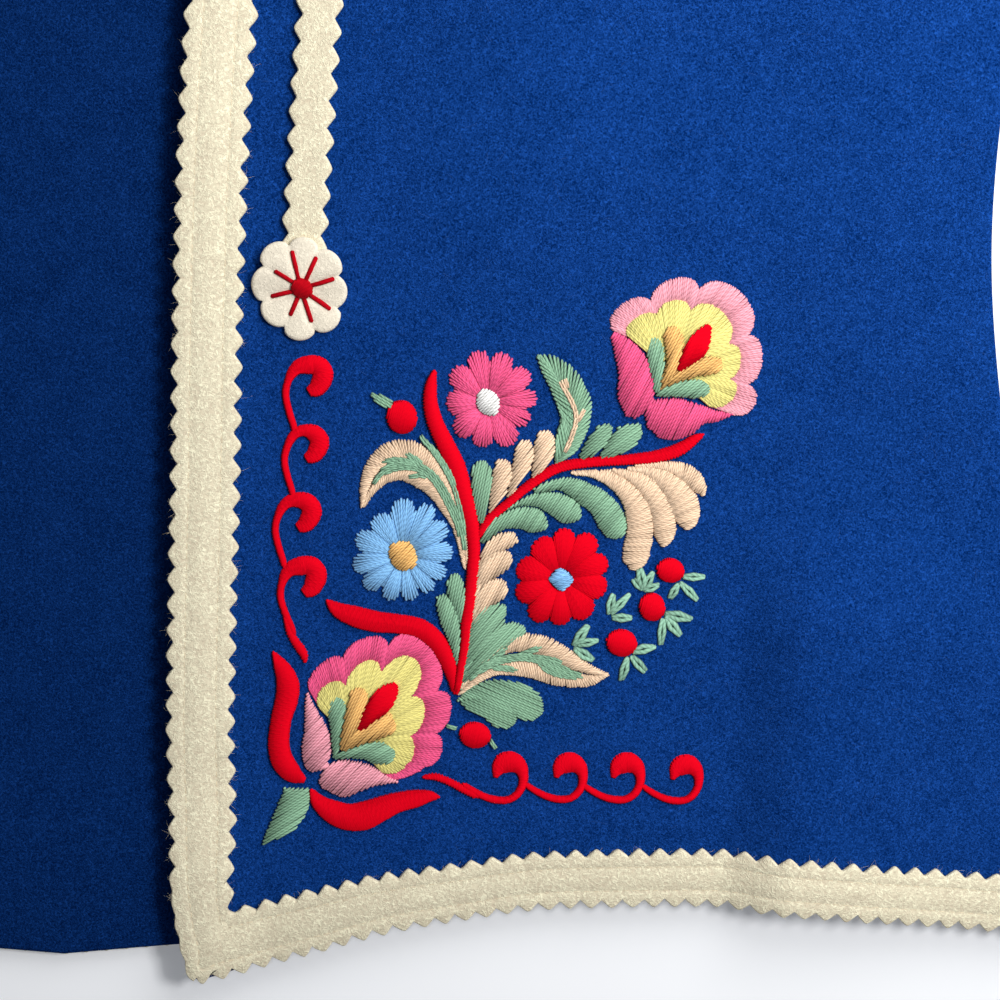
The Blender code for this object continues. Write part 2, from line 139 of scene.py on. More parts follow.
# Soft folds: side, crest from (across, along) to (across, along), width inside, width outside, height
FOLDS = (
    (1, 180.5, -12.0, 189.0, 128.0, 19.0, 72.0, 6.0),
    (1, 116.0, 150.0, 124.0, 345.0, 36.0, 38.0, 1.7),
    (1, 203.0, 128.0, 196.0, 300.0, 30.0, 34.0, 1.9),
    (1, 214.0, 318.0, 128.0, 400.0, 32.0, 34.0, 2.6),
    (1, 84.0, 350.0, 150.0, 505.0, 34.0, 36.0, 1.6),
    (-1, 196.0, -10.0, 184.0, 150.0, 26.0, 46.0, 2.6),
    (-1, 96.0, 120.0, 120.0, 300.0, 34.0, 36.0, 1.9),
    (-1, 208.0, 180.0, 190.0, 320.0, 30.0, 30.0, 1.6),
    (-1, 210.0, 330.0, 130.0, 385.0, 32.0, 32.0, 2.3),
    (-1, 100.0, 370.0, 140.0, 500.0, 34.0, 34.0, 1.8),
)
FOLD_FADE = 40.0
# Faint waves of the lying cloth: height, and waves per millimetre across and along; how they differ by side
RIPPLES = ((0.16, 0.011, 0.007), (0.11, -0.017, 0.012), (0.07, 0.031, 0.023), (0.05, 0.044, -0.037))
RIPPLE_SHIFT = 1.7

# Pinked edges. The corner's reach is in points of the cut edges, which lie 1 mm apart
FRONT_PITCH = 6.25
HEM_PITCH = 5.2
TOOTH_DEPTH = 2.4
HEM_TOOTH_DEPTH = 2.1
TIP_OVER_CLOTH = 0.6
FRONT_BAND_WIDTH = 17.3
HEM_BAND_WIDTH = 15.3
NARROWING = (24.0, 48.0)
HEM_WIDENING = (112.0, 48.0)
CORNER_REACH = 3
ROLLED_LENGTH = 26.0
ROLLED_TOOTH_SHARE = 0.3
STRIP_WIDTH = 11.0
STRIP_TOOTH_DEPTH = 1.8
BACK_TIP_OVER = 1.3
PER_TOOTH = 12
TIP_ROUNDING = 0.2
TOOTH_CUT = (0.86, 1.08)
INNER_TOOTH_CUT = (0.88, 1.08)
OUTER_TOOTH_SHARE = 0.72
INNER_TOOTH_SHARE = 0.85
TIPS_IN = 0.6
TIPS_IN_FROM = (30, 50)
MITRE_REACH = 3
NARROWEST = 0.6

# Section of a felt band: distance in from the cut edge and height share, of its top and its underside; how
# far in the sewing lies, how wide and deep it presses the felt; how far the teeth lift
EDGE_SECTION = ((0.0, 0.45), (0.07, 0.74), (0.22, 0.92), (0.55, 1.0))
UNDER_SECTION = ((0.18, 0.06), (0.8, 0.0))
LEVEL_FROM = 3.35
SEAM_IN = 4.6
GROOVE_PLACES = (-0.5, -0.2, 0.2, 0.5)
GROOVE_REACH = 0.5
GROOVE_DEPTH = 0.24
GROOVE_BETWEEN = 0.55
EDGE_LIFT = 0.14
STRIP_LIFT = 0.12

# Felt flower: direction in degrees and reach of its petals, its notches as a share of that, and its climb
# over the strip
FLOWER_CENTRE = (63.4, 176.5)
PETALS = (
    (-136, 11.1), (-91, 12.2), (-50, 12.2), (-5, 11.2), (43, 12.0), (83, 12.3), (121, 12.5), (172, 11.4),
)
PER_PETAL = 14
NOTCH_SHARE = 0.84
LOBE_BLUNTNESS = 0.6
FLOWER_CLIMB = 7.5
FLOWER_CLEAR = 1.2
# Its rings as shares of the reach, the height of its rim at such shares, how much its petals puff up, and how
# far the star draws it in
FLOWER_RINGS = (0.02, 0.1, 0.18, 0.27, 0.36, 0.45, 0.54, 0.63, 0.72, 0.80, 0.87, 0.93, 0.97, 0.99, 1.0)
FLOWER_RIM = ((0, 1.0), (0.8, 1.0), (0.93, 0.97), (0.97, 0.86), (0.99, 0.70), (1.0, 0.42))
UNDER_RINGS = (0.985, 0.8, 0.4)
PUFF = 0.18
PUFF_FROM = 0.5
DRAWN_IN = 0.3
DRAWN_WIDTH = 0.7
DRAWN_ANGLE = 0.6

# Star on the felt flower: direction in degrees and reach of its rays, heart, place beside the flower's
# centre, start and half width of the rays, depth in the felt
STAR = ((103, 9.1), (63, 8.3), (17, 8.3), (-37, 8.4), (-76, 8.4), (-115, 7.0), (-166, 7.7), (144, 7.7))
STAR_HEART = 2.5
STAR_OFF = (0.6, 0.15)
STAR_START = 1.6
STAR_HALF = 0.62
STAR_DEPTH = 0.26
HEART_SPACING = 0.4

# Embroidery, on the left front. Each blade is a shape along a path of (across, along, width) rows: thread,
# layer, angle of its stitches in degrees or None for stitches across the path, and how far those lean
BLADES = (
    # red stem, branch and long leaves
    ("red", 2, None, 4, ((99.9, 78, 1), (100.9, 84.1, 1.5), (101.9, 89.9, 1.8), (102.2, 95.2, 2.3),
        (102.9, 99.2, 2.6), (103.7, 106.1, 2.6), (104.1, 114.8, 2.7), (103.5, 120.5, 3.4),
        (101.8, 127.1, 4.1), (99.9, 134.2, 4.3), (97.3, 139.8, 4), (94.8, 145.3, 3.5), (93.8, 150.6, 2.9),
        (94.3, 154.4, 1.9), (95, 157.1, 0.5))),
    ("red", 2, None, 3, ((105.4, 117, 1.2), (107.1, 120.5, 1.7), (111.5, 124.4, 1.7), (117.2, 129.3, 2),
        (124.4, 133.8, 2.2), (132.1, 135.1, 2), (141.7, 135.8, 2.2), (148.9, 136.7, 2.8),
        (153.9, 138.4, 2.9), (157, 140.5, 2), (158.9, 141.7, 0.7))),
    ("red", 1, None, 4, ((68.6, 100.9, 0.7), (71, 98.9, 3.2), (74.9, 97.2, 4.9), (80.2, 95.7, 5.1),
        (85.6, 95.2, 4.6), (91, 94.1, 4.6), (95.1, 90.6, 4.4), (97.5, 86.1, 3.7), (98.7, 82, 2.5),
        (99.4, 78, 1))),
    ("red", 1, None, 4, ((55.2, 87.9, 0.5), (57.3, 84.3, 3.4), (58.5, 80.5, 5.2), (58.1, 76.4, 5.4),
        (56.8, 72.1, 4.9), (56, 67.5, 4.9), (55.9, 63.1, 5.2), (57, 59.5, 5.4), (59.4, 56.7, 4.2),
        (61.7, 55.6, 2))),
    ("red", 1, None, 4, ((63.8, 52.8, 1), (65.8, 49.9, 3.5), (68.7, 47.8, 5.5), (72.7, 46.2, 6.5),
        (76.7, 46.5, 7), (81.2, 48.4, 6), (85.9, 50.2, 4.7), (90.1, 51, 4), (93.1, 51.5, 2.5),
        (95.1, 51.4, 0.7))),
    # pointed leaf at the corner
    ("green", 1, 32, 0, ((51.5, 39.2, 0.5), (53.7, 41.8, 3.2), (56, 44.2, 5.5), (58, 46.8, 7),
        (59.3, 49.4, 7.5), (60, 51.7, 7), (60.1, 53.6, 6.5))),
    # lower tulip: calyx, inner leaves and heart
    ("light_pink", 1, 45, 0, ((63.2, 78, 0.7), (63.6, 74.4, 2.5), (64.5, 70.6, 4.7), (65.2, 66.7, 6.7),
        (65.1, 63.1, 7.4), (64.6, 60.3, 6.2), (64.3, 58.7, 4.5), (64.2, 57.6, 2))),
    ("light_pink", 1, 45, 0, ((65.8, 54.3, 1.7), (67.1, 54.9, 5), (68.8, 55.5, 7.9), (71.6, 56, 9.4),
        (74.8, 56.5, 7.9), (78.3, 56.5, 5.7), (81.7, 55.9, 3), (85.2, 55.3, 0.7))),
    ("orange", 2, 45, 0, ((70.9, 63.1, 1.2), (74.5, 67.2, 5.4), (78.2, 71.3, 8.4), (82.2, 74.9, 6.4))),
    ("green", 2, 60, 0, ((69.7, 61.1, 1), (70.1, 64.9, 2.7), (70.7, 68.8, 4.2), (70.6, 72.4, 4.9),
        (70.9, 75.2, 3.9), (71.2, 77, 1.5))),
    ("green", 3, 30, 0, ((69.4, 61.1, 0.7), (72.9, 62.4, 2.5), (76.4, 62.9, 4), (80.1, 62.7, 5.9),
        (82.8, 62.5, 5.2), (84.8, 62.6, 2.2))),
    ("orange", 5, 65, 0, ((71.4, 63.4, 1), (73.2, 68.3, 3.2), (74.8, 72.9, 4.4), (75.8, 76.4, 4.7),
        (76.1, 78.7, 3.4), (76.2, 79.5, 1.5))),
    ("orange", 5, 45, 0, ((71.7, 63.4, 1), (75.9, 66.5, 3.5), (79.7, 68.5, 4.9), (82.6, 70.1, 5.4),
        (84.1, 70.7, 3.9), (84.7, 71, 1.7))),
    ("red", 6, 50, 0, ((75.7, 68.5, 0.7), (78, 71.7, 3), (80.7, 74.9, 4.8), (82.7, 77.5, 4.5),
        (84.3, 79.4, 2.8), (85.2, 80.5, 0.7))),
    # upper tulip
    ("hot_pink", 1, 62, 0, ((137.3, 166.1, 1.7), (139.5, 163.2, 5), (141.4, 159.9, 7.1),
        (142.8, 156.1, 8.8), (142.9, 152.3, 8.9), (142.4, 148.9, 7.4), (141.6, 145.8, 2.2))),
    ("hot_pink", 1, 65, 0, ((145.2, 145.3, 3.6), (147.6, 145.7, 8.6), (151.1, 145.6, 10.3),
        (154.7, 145.9, 9.3), (158.3, 146.5, 5.3), (161.9, 146.3, 3.1), (164.7, 146.6, 1.7),
        (166.2, 147, 0.5))),
    ("orange", 2, 45, 0, ((148.4, 152.5, 1.2), (151.2, 155.6, 5.2), (154.2, 159.2, 7.6),
        (157.3, 162.3, 5.7))),
    ("green", 2, 75, 0, ((147.7, 151.6, 1), (147.9, 154.9, 2.6), (147.6, 158.5, 3.8), (147.4, 161.6, 4.3),
        (147.3, 163.9, 3.3), (147, 165.4, 1.4))),
    ("green", 3, 40, 0, ((147.5, 151.1, 0.7), (150.6, 152.3, 2.9), (153.9, 152.7, 4.1),
        (157.2, 152.9, 4.8), (159.4, 153, 3.6), (160.6, 153, 1.4))),
    ("orange", 5, 62, 0, ((148.9, 153, 0.7), (150.5, 156.3, 2.1), (151.5, 159.7, 3.1),
        (151.6, 162.8, 4.3), (151.5, 165.6, 5), (151.5, 168, 2.1))),
    ("orange", 5, 40, 0, ((149.3, 153.5, 0.7), (153.4, 155.9, 2.4), (157.4, 157.6, 3.8),
        (160.7, 158.6, 4.5), (163.3, 159.2, 2.4))),
    ("red", 6, 60, 0, ((152.7, 157.1, 0.5), (154.5, 159.4, 2.6), (156.6, 162.1, 4.5), (157.9, 164.4, 4.2),
        (159.1, 166.7, 2.5), (160, 168.3, 0.7))),
    # crescent leaf left of the stem: outer and inner half
    ("beige", 1, None, 2, ((77.1, 124.2, 0.5), (77.8, 128.8, 2.4), (80.2, 134.4, 4.1), (83.9, 137.3, 5.3),
        (88, 138.1, 5.3), (92, 136.4, 5), (95.4, 132.7, 3.4), (98, 128.8, 2.6), (100.1, 123.9, 2.4),
        (101.8, 118, 1.7), (102.5, 110.6, 0.7))),
    ("beige", 1, None, -1.5, ((77.7, 124.4, 0.7), (79.9, 128.3, 1.9), (83.1, 131.3, 2.9),
        (87.4, 132.5, 4.1), (91.5, 131, 4.8), (95.1, 128.1, 4.3), (97.5, 124.4, 3.6), (99.9, 120, 2.7),
        (101.3, 114.8, 2.2), (102, 109.1, 0.7))),
    # leaf under the red flower: upper and lower half
    ("beige", 1, None, -2, ((100.9, 78.7, 0.5), (104.4, 83.3, 2), (108.1, 87.1, 2.9), (112.2, 89.6, 3.7),
        (116.9, 90.4, 4.9), (121.5, 89.4, 5.4), (125.7, 87.3, 4.9), (129.4, 85.1, 3.7),
        (133.1, 83.6, 2.2), (137, 82.5, 0.5))),
    ("beige", 1, None, 2, ((100.4, 77.5, 0.5), (104.6, 81, 2.2), (109.3, 83.6, 2.9), (114.2, 84.3, 4.4),
        (119.3, 83.6, 4.9), (124.2, 82, 4.9), (128.9, 81, 3.9), (133.1, 81, 2.9), (137, 82.3, 0.5))),
    # feathered leaf over the branch: right and left half
    ("green", 0, 62, 0, ((124.2, 135.6, 1.2), (125.6, 140.5, 3.4), (127, 146.3, 4.5), (126.2, 151.1, 4.3),
        (123.6, 156.1, 2.6))),
    ("green", 1, None, 6, ((124.2, 135.1, 0.7), (127.3, 138.5, 2.9), (129.3, 142.4, 3.8),
        (130.3, 146, 4.1), (129.8, 149.4, 5.3), (128.4, 152.5, 5.2), (126.7, 155.6, 5.2), (124.5, 158, 4),
        (121.9, 159.9, 2.4), (119.3, 160.7, 0.5))),
    ("green", 1, None, -6, ((123.9, 134.9, 0.7), (125.1, 138.1, 2.6), (126.1, 142.2, 3.8),
        (127.2, 145.8, 3.6), (126.3, 148.7, 3.8), (124.8, 151.8, 3.6), (123.1, 154.9, 3.1),
        (121.2, 157.8, 2.1), (119.3, 160.7, 0.5))),
    # small lobes over the branch
    ("green", 1, 78, 0, ((105.7, 120, 1), (105.7, 123.9, 2.9), (105.9, 127.8, 4.3), (106.2, 131.5, 5),
        (106.2, 134.2, 4.1), (106.4, 135.6, 1.9))),
    ("beige", 1, 52, 0, ((108.1, 122.5, 1), (109.3, 126.6, 2.9), (110.7, 130.5, 4.6), (111.2, 133.7, 4.6),
        (111, 135.9, 2.2))),
    ("beige", 1, 52, 0, ((112.4, 126.4, 1), (114.1, 130.8, 2.9), (115.8, 134.9, 4.6), (116.5, 138.3, 4.6),
        (116.5, 140.5, 2.2))),
    ("beige", 1, 52, 0, ((118.4, 131, 1.2), (119.9, 134.7, 3.6), (121.1, 138.3, 5.3), (121.3, 141, 4.6),
        (121, 142.9, 2.2))),
    ("green", 1, 40, 0, ((129.7, 135.9, 1.4), (132.1, 138.5, 3.4), (134.5, 141.2, 4.3),
        (136.1, 143.1, 3.4), (137.1, 144.1, 1.2))),
    ("green", 1, 36, 0, ((134.5, 136.1, 1.4), (137.6, 138.5, 4.3), (140.4, 141, 5.7), (142.8, 142.9, 4.3),
        (144, 144.3, 1))),
    # green arc under the branch: three lobes
    ("green", 1, 48, 0, ((118.6, 127.9, 1.4), (122, 129.2, 2.4), (124.9, 129.7, 3.2), (128, 129, 4.8),
        (131, 127.3, 5.8), (134.6, 125, 6.5), (137, 121.5, 7.1), (137.8, 118.7, 6.6), (137.7, 117.2, 4.7),
        (137.6, 116.3, 2.2))),
    ("green", 1, 56, 0, ((111.7, 123.7, 1), (114.3, 124.7, 1.2), (116.5, 125.4, 2.2), (119.8, 125.9, 3.9),
        (123.1, 125.1, 5.8), (125.9, 123.8, 6.8), (128, 122.6, 6), (129.3, 121.8, 3.1),
        (129.8, 121.5, 1.2))),
    ("green", 1, 58, 0, ((106, 115.2, 1.2), (107.9, 118, 2.5), (110, 119.9, 3.6), (113.1, 121.1, 4.8),
        (116.4, 121.4, 5.9), (119.1, 120.6, 6.2), (120.8, 119.6, 4), (121.7, 119, 1.5))),
    # beige feathers under the branch, the nearest to the stem last
    ("beige", 0, 60, 0, ((134.5, 132.7, 1.4), (141.8, 131.3, 4.3), (147.8, 129.1, 6.7),
        (151.9, 126.6, 8.2), (153.9, 124.2, 5.8))),
    ("beige", 1, None, 1.6, ((143.1, 134.3, 1.2), (147.4, 134.6, 1.9), (151.7, 133.9, 3.1),
        (155, 132.6, 4.6), (157.5, 130.2, 4.6), (158.9, 128.2, 2.9), (159.4, 127.2, 1.2))),
    ("beige", 1, None, 1.6, ((141.3, 133.5, 1), (145.6, 133.2, 2.3), (149.3, 131.5, 4.4),
        (152.4, 128.7, 6.3), (154.8, 125, 7.5), (155.6, 121.8, 6.3), (155.7, 119.8, 4.3),
        (155.7, 118.9, 1.9))),
    ("beige", 1, None, 1.6, ((137.7, 133.2, 1), (141.3, 132.1, 2.6), (144.4, 130.3, 4),
        (147.1, 127.4, 5.1), (149.1, 124.1, 5.8), (150.1, 120.6, 6), (150.2, 117.4, 5.2),
        (150.1, 115.6, 3.4), (150, 114.7, 1.5))),
    ("beige", 1, None, 1.6, ((127.8, 132.5, 1), (132.1, 132.4, 1.9), (135.8, 131.5, 3.2),
        (139, 129.7, 4.3), (142, 126.7, 5.4), (143.8, 123.1, 6.5), (144.4, 119.3, 6.8), (144, 115.6, 6.8),
        (143.3, 112.4, 6.7), (143, 110.2, 5.1), (142.8, 109, 2.2))),
    # lobes on both sides of the stem below the branch
    ("beige", 1, 62, 0, ((105.7, 111.6, 1.2), (105.2, 107.4, 1.9), (104.9, 103.7, 2.2),
        (104.5, 99.9, 2.2), (103.8, 95.7, 1.5))),
    ("beige", 1, 62, 0, ((105.4, 107.1, 1), (106.4, 110.4, 2.2), (108.1, 113.1, 3.6), (110.3, 115.3, 4.4),
        (112.7, 116.3, 4.1), (114.6, 117, 2.4))),
    ("beige", 1, 62, 0, ((104.7, 101.7, 1.2), (105.6, 105.1, 2.7), (107.3, 108.1, 4.6),
        (109.8, 110.4, 5.6), (111.7, 111.6, 4.6), (113.4, 112.1, 1.9))),
    ("beige", 1, 62, 0, ((103.4, 93.9, 0.7), (104.6, 97.4, 2.7), (106.1, 100.4, 4.1), (108.1, 102.7, 5.6),
        (110.3, 104.2, 5.3), (112.2, 104.7, 2.4))),
    ("green", 1, 50, 0, ((100.4, 78.5, 1), (101.7, 85.1, 2.9), (103.9, 90.4, 4.9), (106.6, 94.4, 6.1),
        (109, 97.4, 6.1), (110.7, 99.2, 3.7), (111.5, 100.2, 1.5))),
    ("green", 1, 46, 0, ((101.4, 80.5, 1.5), (104.1, 85.6, 3.9), (107.6, 89.1, 4.9), (111.2, 92.1, 5.4),
        (114.4, 93.6, 4.4), (116.8, 94.1, 1.5))),
    ("green", 1, 78, 0, ((101, 95.4, 1), (100.5, 99.9, 3.4), (99.8, 103.7, 4.4), (99.6, 106.4, 3.2),
        (99.6, 107.9, 1.2))),
    ("green", 1, 72, 0, ((100.2, 84.3, 0.7), (99.5, 89.9, 2.7), (98.3, 95.7, 4.6), (97.1, 99.9, 4.4),
        (96.1, 102.4, 2.2))),
    ("green", 1, -24, 0, ((99.9, 75.9, 0.7), (103.4, 77.7, 3.2), (107.3, 78.7, 4.7), (111.2, 78.2, 5.9),
        (114.9, 76.7, 7.4), (118.1, 73.9, 7.6), (120.1, 71.6, 3.4))),
    ("green", 1, -24, 0, ((100.7, 75.4, 1.2), (103.9, 75, 3.7), (107.3, 74.3, 5.4), (110.3, 72.6, 6.6),
        (112.2, 70.8, 5.9), (113.2, 69, 2.7))),
    ("green", 1, -30, 0, ((79.6, 151.6, 0.7), (81.4, 150.6, 2.1), (83.3, 149.6, 2.4), (85, 148.7, 1.4))),
    # thin tails of the scrolls
    ("red", 1, None, 2, ((58.1, 97.4, 0.5), (58.8, 94.9, 0.9), (59.4, 92.6, 1.5), (60.6, 90.6, 1.8),
        (61.7, 88.9, 2.1), (62.5, 87.3, 1.7), (62.7, 86, 1))),
    ("red", 1, None, 2, ((104.8, 51.7, 1.4), (102.4, 52.8, 1.5), (99.4, 54.5, 1.5), (96.4, 55.9, 1.4),
        (94.1, 56.7, 1.2), (91.8, 56.4, 0.7))),
)

# Comma of the scrolls, from the curl to the tail, from the top of its head: across, along, width, and how
# much wider a full one is
COMMA = ((-0.2, -8.2, 2.7, 0), (1, -7.5, 3.9, 0), (2.2, -6, 4.5, 0), (2.7, -4.1, 4.6, 0),
        (1.7, -2.3, 4.1, 0.5), (-0.5, -1.4, 2.9, 2.2), (-2.7, -1.9, 2.3, 1.6), (-4.3, -3.6, 1.9, 0.7),
        (-5.3, -5.8, 1.4, 0), (-5.9, -8.7, 1.2, 0), (-5.3, -12.3, 1.1, 0), (-4.3, -15.9, 1, 0),
        (-4, -17.6, 0.6, 0))

# Comma of the scrolls along the hem, lying on its side
HEM_COMMA = ((-0.6, -7.8, 1.7, 0), (1.1, -7.4, 3.1, 0), (2.5, -6.1, 4.8, 0), (2.7, -4.3, 5.5, 0),
        (1.8, -2.4, 4.5, 0), (-0.2, -1.2, 2.7, 0), (-2.9, -1.2, 1.9, 0), (-5.2, -2.4, 1.7, 0),
        (-6.7, -4.5, 1.5, 0), (-6.8, -7.7, 1.5, 0), (-6, -10.6, 1.3, 0), (-4.6, -13.3, 1.1, 0),
        (-2.9, -15.7, 0.6, 0))

# Where the commas are: across, along, size, turn in degrees, how full
COMMAS = (
    (65.6, 160.9, 1.06, 0, 0.6),
    (64.6, 144.3, 1.0, 0, 0),
    (62.3, 127.8, 1.05, 0, 0.25),
    (62.5, 112.1, 1.1, 6, 0.6),
)

# Where the commas along the hem are: across, along, size
HEM_COMMAS = (
    (117.3, 57.5, 1.0),
    (132, 57.5, 0.96),
    (146.2, 57.5, 0.97),
    (160.6, 57.1, 0.94),
)

# Tulips: thread of the outer ring; notches and the tips of the scallops between them, for the outer and the
# inner ring; the point that the inner stitches run to
TULIPS = (
    ("hot_pink", ((64.1, 78.5), (66.4, 85.1), (72.4, 85.8), (77.8, 91.9), (83, 88.7), (93.1, 90.9),
        (94.6, 77.5), (98.7, 74.1), (94.2, 67.4), (96.2, 62.6), (92, 59.6), (88.7, 56.9), (83.7, 55.9)),
        ((66, 74.4), (68, 80.5), (73, 78.7), (77.2, 86.1), (81.2, 82.4), (89.9, 86.8), (88.3, 76.6),
        (92.3, 73.1), (87.8, 66.9), (89.7, 63.1), (87.1, 59.9), (85.5, 57.7), (81.8, 57.7)), (74, 65.7)),
    ("light_pink", ((137.5, 166.6), (139.1, 172.9), (146.2, 173.3), (152, 179.2), (157.1, 175.4),
        (167.2, 176), (169, 165.2), (173, 160.4), (169.1, 153.9), (171.4, 148.7), (165.7, 147.2)),
        ((140.6, 165.8), (142.9, 170.3), (147.7, 169.9), (151.8, 174.2), (155.4, 170.6), (162.8, 171.8),
        (164.5, 163.3), (168, 160.1), (164.8, 155.3), (166.3, 150.4), (160.2, 148.9)), (151.4, 156.8)),
)

# Flowers: thread, thread of the centre, centre, half sizes, tilt and squareness of the centre, (angle, reach)
# of each petal
FLOWERS = (
    ("hot_pink", "white", (107.6, 149.6), (3, 3.6, 20, 1.15), ((102, 12.8), (71, 12.7), (37, 12.5),
        (4, 12), (-23, 11.2), (-61, 12.1), (-99, 11.2), (-132, 11), (-180, 10.2), (-225, 11.7))),
    ("light_blue", "orange", (87, 112.3), (3.5, 3.8, 20, 0.85), ((88, 14.2), (61, 14.5), (37, 13.4),
        (5, 12.4), (-27, 11.7), (-52, 11.6), (-81, 11.7), (-108, 12), (-140, 12.6), (-167, 12.8),
        (-202, 12.5), (-237, 12.1))),
    ("red", "light_blue", (125.3, 106.4), (3.2, 3, 0, 1.6), ((86, 12.7), (55, 13.4), (23, 12.3),
        (-10, 11.5), (-57, 11.8), (-92, 11.7), (-122, 12.5), (-159, 11.8), (-194, 11.3), (-244, 11.6))),
)

# Berries: across, along, half sizes
BERRIES = (
    (87, 146, 3.4, 4.1),
    (151.8, 108.5, 3.1, 3.1),
    (147.5, 99.4, 2.9, 3.6),
    (140.2, 90.4, 3.5, 3.5),
    (104.3, 67, 3.6, 3.4),
)

# Looped sprig leaves: from (across, along) to (across, along), width
LOOPS = (
    (154.6, 106.9, 160.5, 106.9, 2.2), (154.2, 105.6, 158.8, 101, 2.2), (154, 105.3, 151.7, 101.3, 2.2),
    (150.7, 97.7, 157.3, 96.4, 2.9), (150.7, 97.2, 154.5, 92, 2.7), (150.2, 96.7, 149.8, 89.6, 2.2),
    (142.9, 88.2, 148.4, 89.6, 2.7), (142.6, 87.1, 146.2, 83, 2.4), (141.8, 86.8, 140.2, 80.8, 2.4),
    (145.5, 103.7, 144.2, 109.1, 2.7), (145.5, 104, 147.8, 108.3, 2.2), (145.3, 103.4, 149.3, 105, 2.2),
    (145.3, 103.7, 142.9, 106.4, 2.2), (137, 97.5, 138, 102.7, 2.4), (137.5, 97.5, 142.1, 102.9, 2.2),
    (137.5, 96.7, 142.8, 96.7, 2.4), (128.3, 89.6, 132, 94.8, 2.7), (129.3, 89.9, 134.7, 91.2, 2.3),
    (128.6, 89, 133.4, 86, 2.7),
)

# Stem stitch lines over the leaves: thread, width, points
STROKES = (
    ("green", 1.2, ((89.4, 143.6), (92.8, 140), (96.1, 135.6), (99, 130.3), (100.9, 123.9),
        (102.3, 116.1))),
    ("green", 2.2, ((79.2, 128.1), (81.2, 131.7), (83.6, 133.7), (87, 134.4), (90.6, 134.2),
        (93.7, 132.5), (96.3, 129.1), (98.4, 125.1), (100.4, 121), (101.8, 115.8), (102.3, 111.6))),
    ("green", 1.4, ((81.9, 134.9), (84.8, 135.9), (88.2, 135.4), (91.5, 134.2))),
    ("green", 1.4, ((87.5, 137.3), (89.6, 136.4), (92.5, 134.2))),
    ("green", 1.2, ((87.9, 131.3), (90.5, 132.2), (93.7, 131.7))),
    ("green", 1.2, ((90.9, 141.2), (94, 139), (96.6, 135.6), (98.7, 132), (100.4, 127.8))),
    ("green", 1.9, ((101.9, 79.8), (105.1, 83.3), (108.5, 85.6), (112.5, 86.7), (116.4, 87.1),
        (120.3, 86.3), (123.7, 84.8), (127.2, 83.4), (132.1, 82.3))),
    ("green", 1.4, ((106.6, 83.8), (109.5, 87.1), (112.5, 89.6))),
    ("green", 1.4, ((112.9, 86.3), (116.9, 88.1), (121, 89.9))),
    ("green", 1.4, ((107.6, 84.3), (111.2, 84.3), (115.2, 83.8))),
    ("green", 1.4, ((119.3, 85.6), (122.3, 83.6), (125.7, 82.4), (131.1, 82))),
    ("green", 1.2, ((117.8, 87.3), (122.3, 86.8), (126.7, 85.3))),
    ("beige", 1.2, ((125.1, 135.4), (126.6, 138.8), (128, 142.4), (128.9, 146), (127.9, 149.2),
        (126.2, 152.3), (124.6, 154.9), (123.4, 156.6))),
    ("beige", 1, ((130.8, 148.7), (129.9, 146.5), (128.9, 144.3))),
    ("beige", 1, ((125.7, 155.9), (126.5, 153.9), (127, 152))),
    ("green", 1, ((96.7, 69.5), (100.9, 68.8))),
    ("green", 1, ((107.8, 66), (110, 63.4))),
)

# Threads, and a stitch as a tube: places along it as distances from its ends, but never over a share of its
# length, with its height and width shares there, and its section as (aside, up) shares
THREADS = (
    "red", "hot_pink", "light_pink", "yellow", "orange",
    "green", "pale_green", "beige", "light_blue", "white",
)
END_DISTANCES = (0.0, 0.4)
END_SHARES = (0.0, 0.25)
END_LIFTS = (0.0, 0.86)
END_WIDTHS = (0.45, 0.95)
TUBE = ((-1.0, 0.0), (-0.5, 0.86), (0.5, 0.86), (1.0, 0.0))
TUBE_HEIGHT = 0.7
TWIST_PITCH = 2.6
LAYER = 0.22
DIVE = 0.25
SCATTER = 0.22
# Padding under a stitch: at no length, more for each millimetre, least, most
PADDING = (0.26, 0.055, 0.28, 0.62)
# Red thread is glossy: fuller, closer, flatter and more even than the rest
RED_FULLNESS = 1.6
RED_SPACING = 0.75
RED_HEIGHT = 0.4
RED_SCATTER = 0.4
RED_UNEVEN = 0.15
# Shortest stitches of a filled shape and of one crossed from rail to rail, and how much closer the latter lie
SHORTEST_LEVEL = 0.35
SHORTEST_CROSSING = 0.5
CROSSING_CLOSER = 1.12
COMMA_LEAN = 1.6
# Flowers and tulips: where petals start, as a share of the centre's size; how much lower a tulip's stitches
# are beside its notches; how far those of its two rings run on towards the heart
PETAL_START = 0.8
NOTCH_LOWER = 0.35
RING_OVERLAP = 0.06
HEART_SHARE = 0.8
# Stem stitch: width of a lane, length, step and slant of its stitches
LANE = 0.5
STEM_STITCH = 3.0
STEM_STEP = 1.7
STEM_SLANT = 0.16

# Machine sewing of the bands: stitch, gap, how far out of true, rise, half width, depth in the felt
STITCH_LENGTH = 2.1
STITCH_GAP = 0.35
OUT_OF_TRUE = 0.05
SEWING_RISE = 0.02
SEWING_HALF = 0.13
SEWING_DEPTH = 0.18

# Loose fibres: places along one and its thickness there, thickness of the wool's and the felt's; the field
# that the wool's are strewn over, how far they keep off the front edge, and their limit beside the armhole
FIBRE_PLACES = (0.0, 0.35, 0.7, 1.0)
FIBRE_TAPER = (1.0, 0.9, 0.7, 0.25)
WOOL_FIBRE = 0.028
FELT_FIBRE = 0.02
FIBRE_FIELD = ((50, 235), (28, 520))
FIBRES_FROM_EDGE = 19
ARMHOLE_LIMIT = 168
ARMHOLE_MIDDLE = 430
ARMHOLE_SLANT = 0.12
UNDERARM = 330
BELOW_ARMHOLE = 50

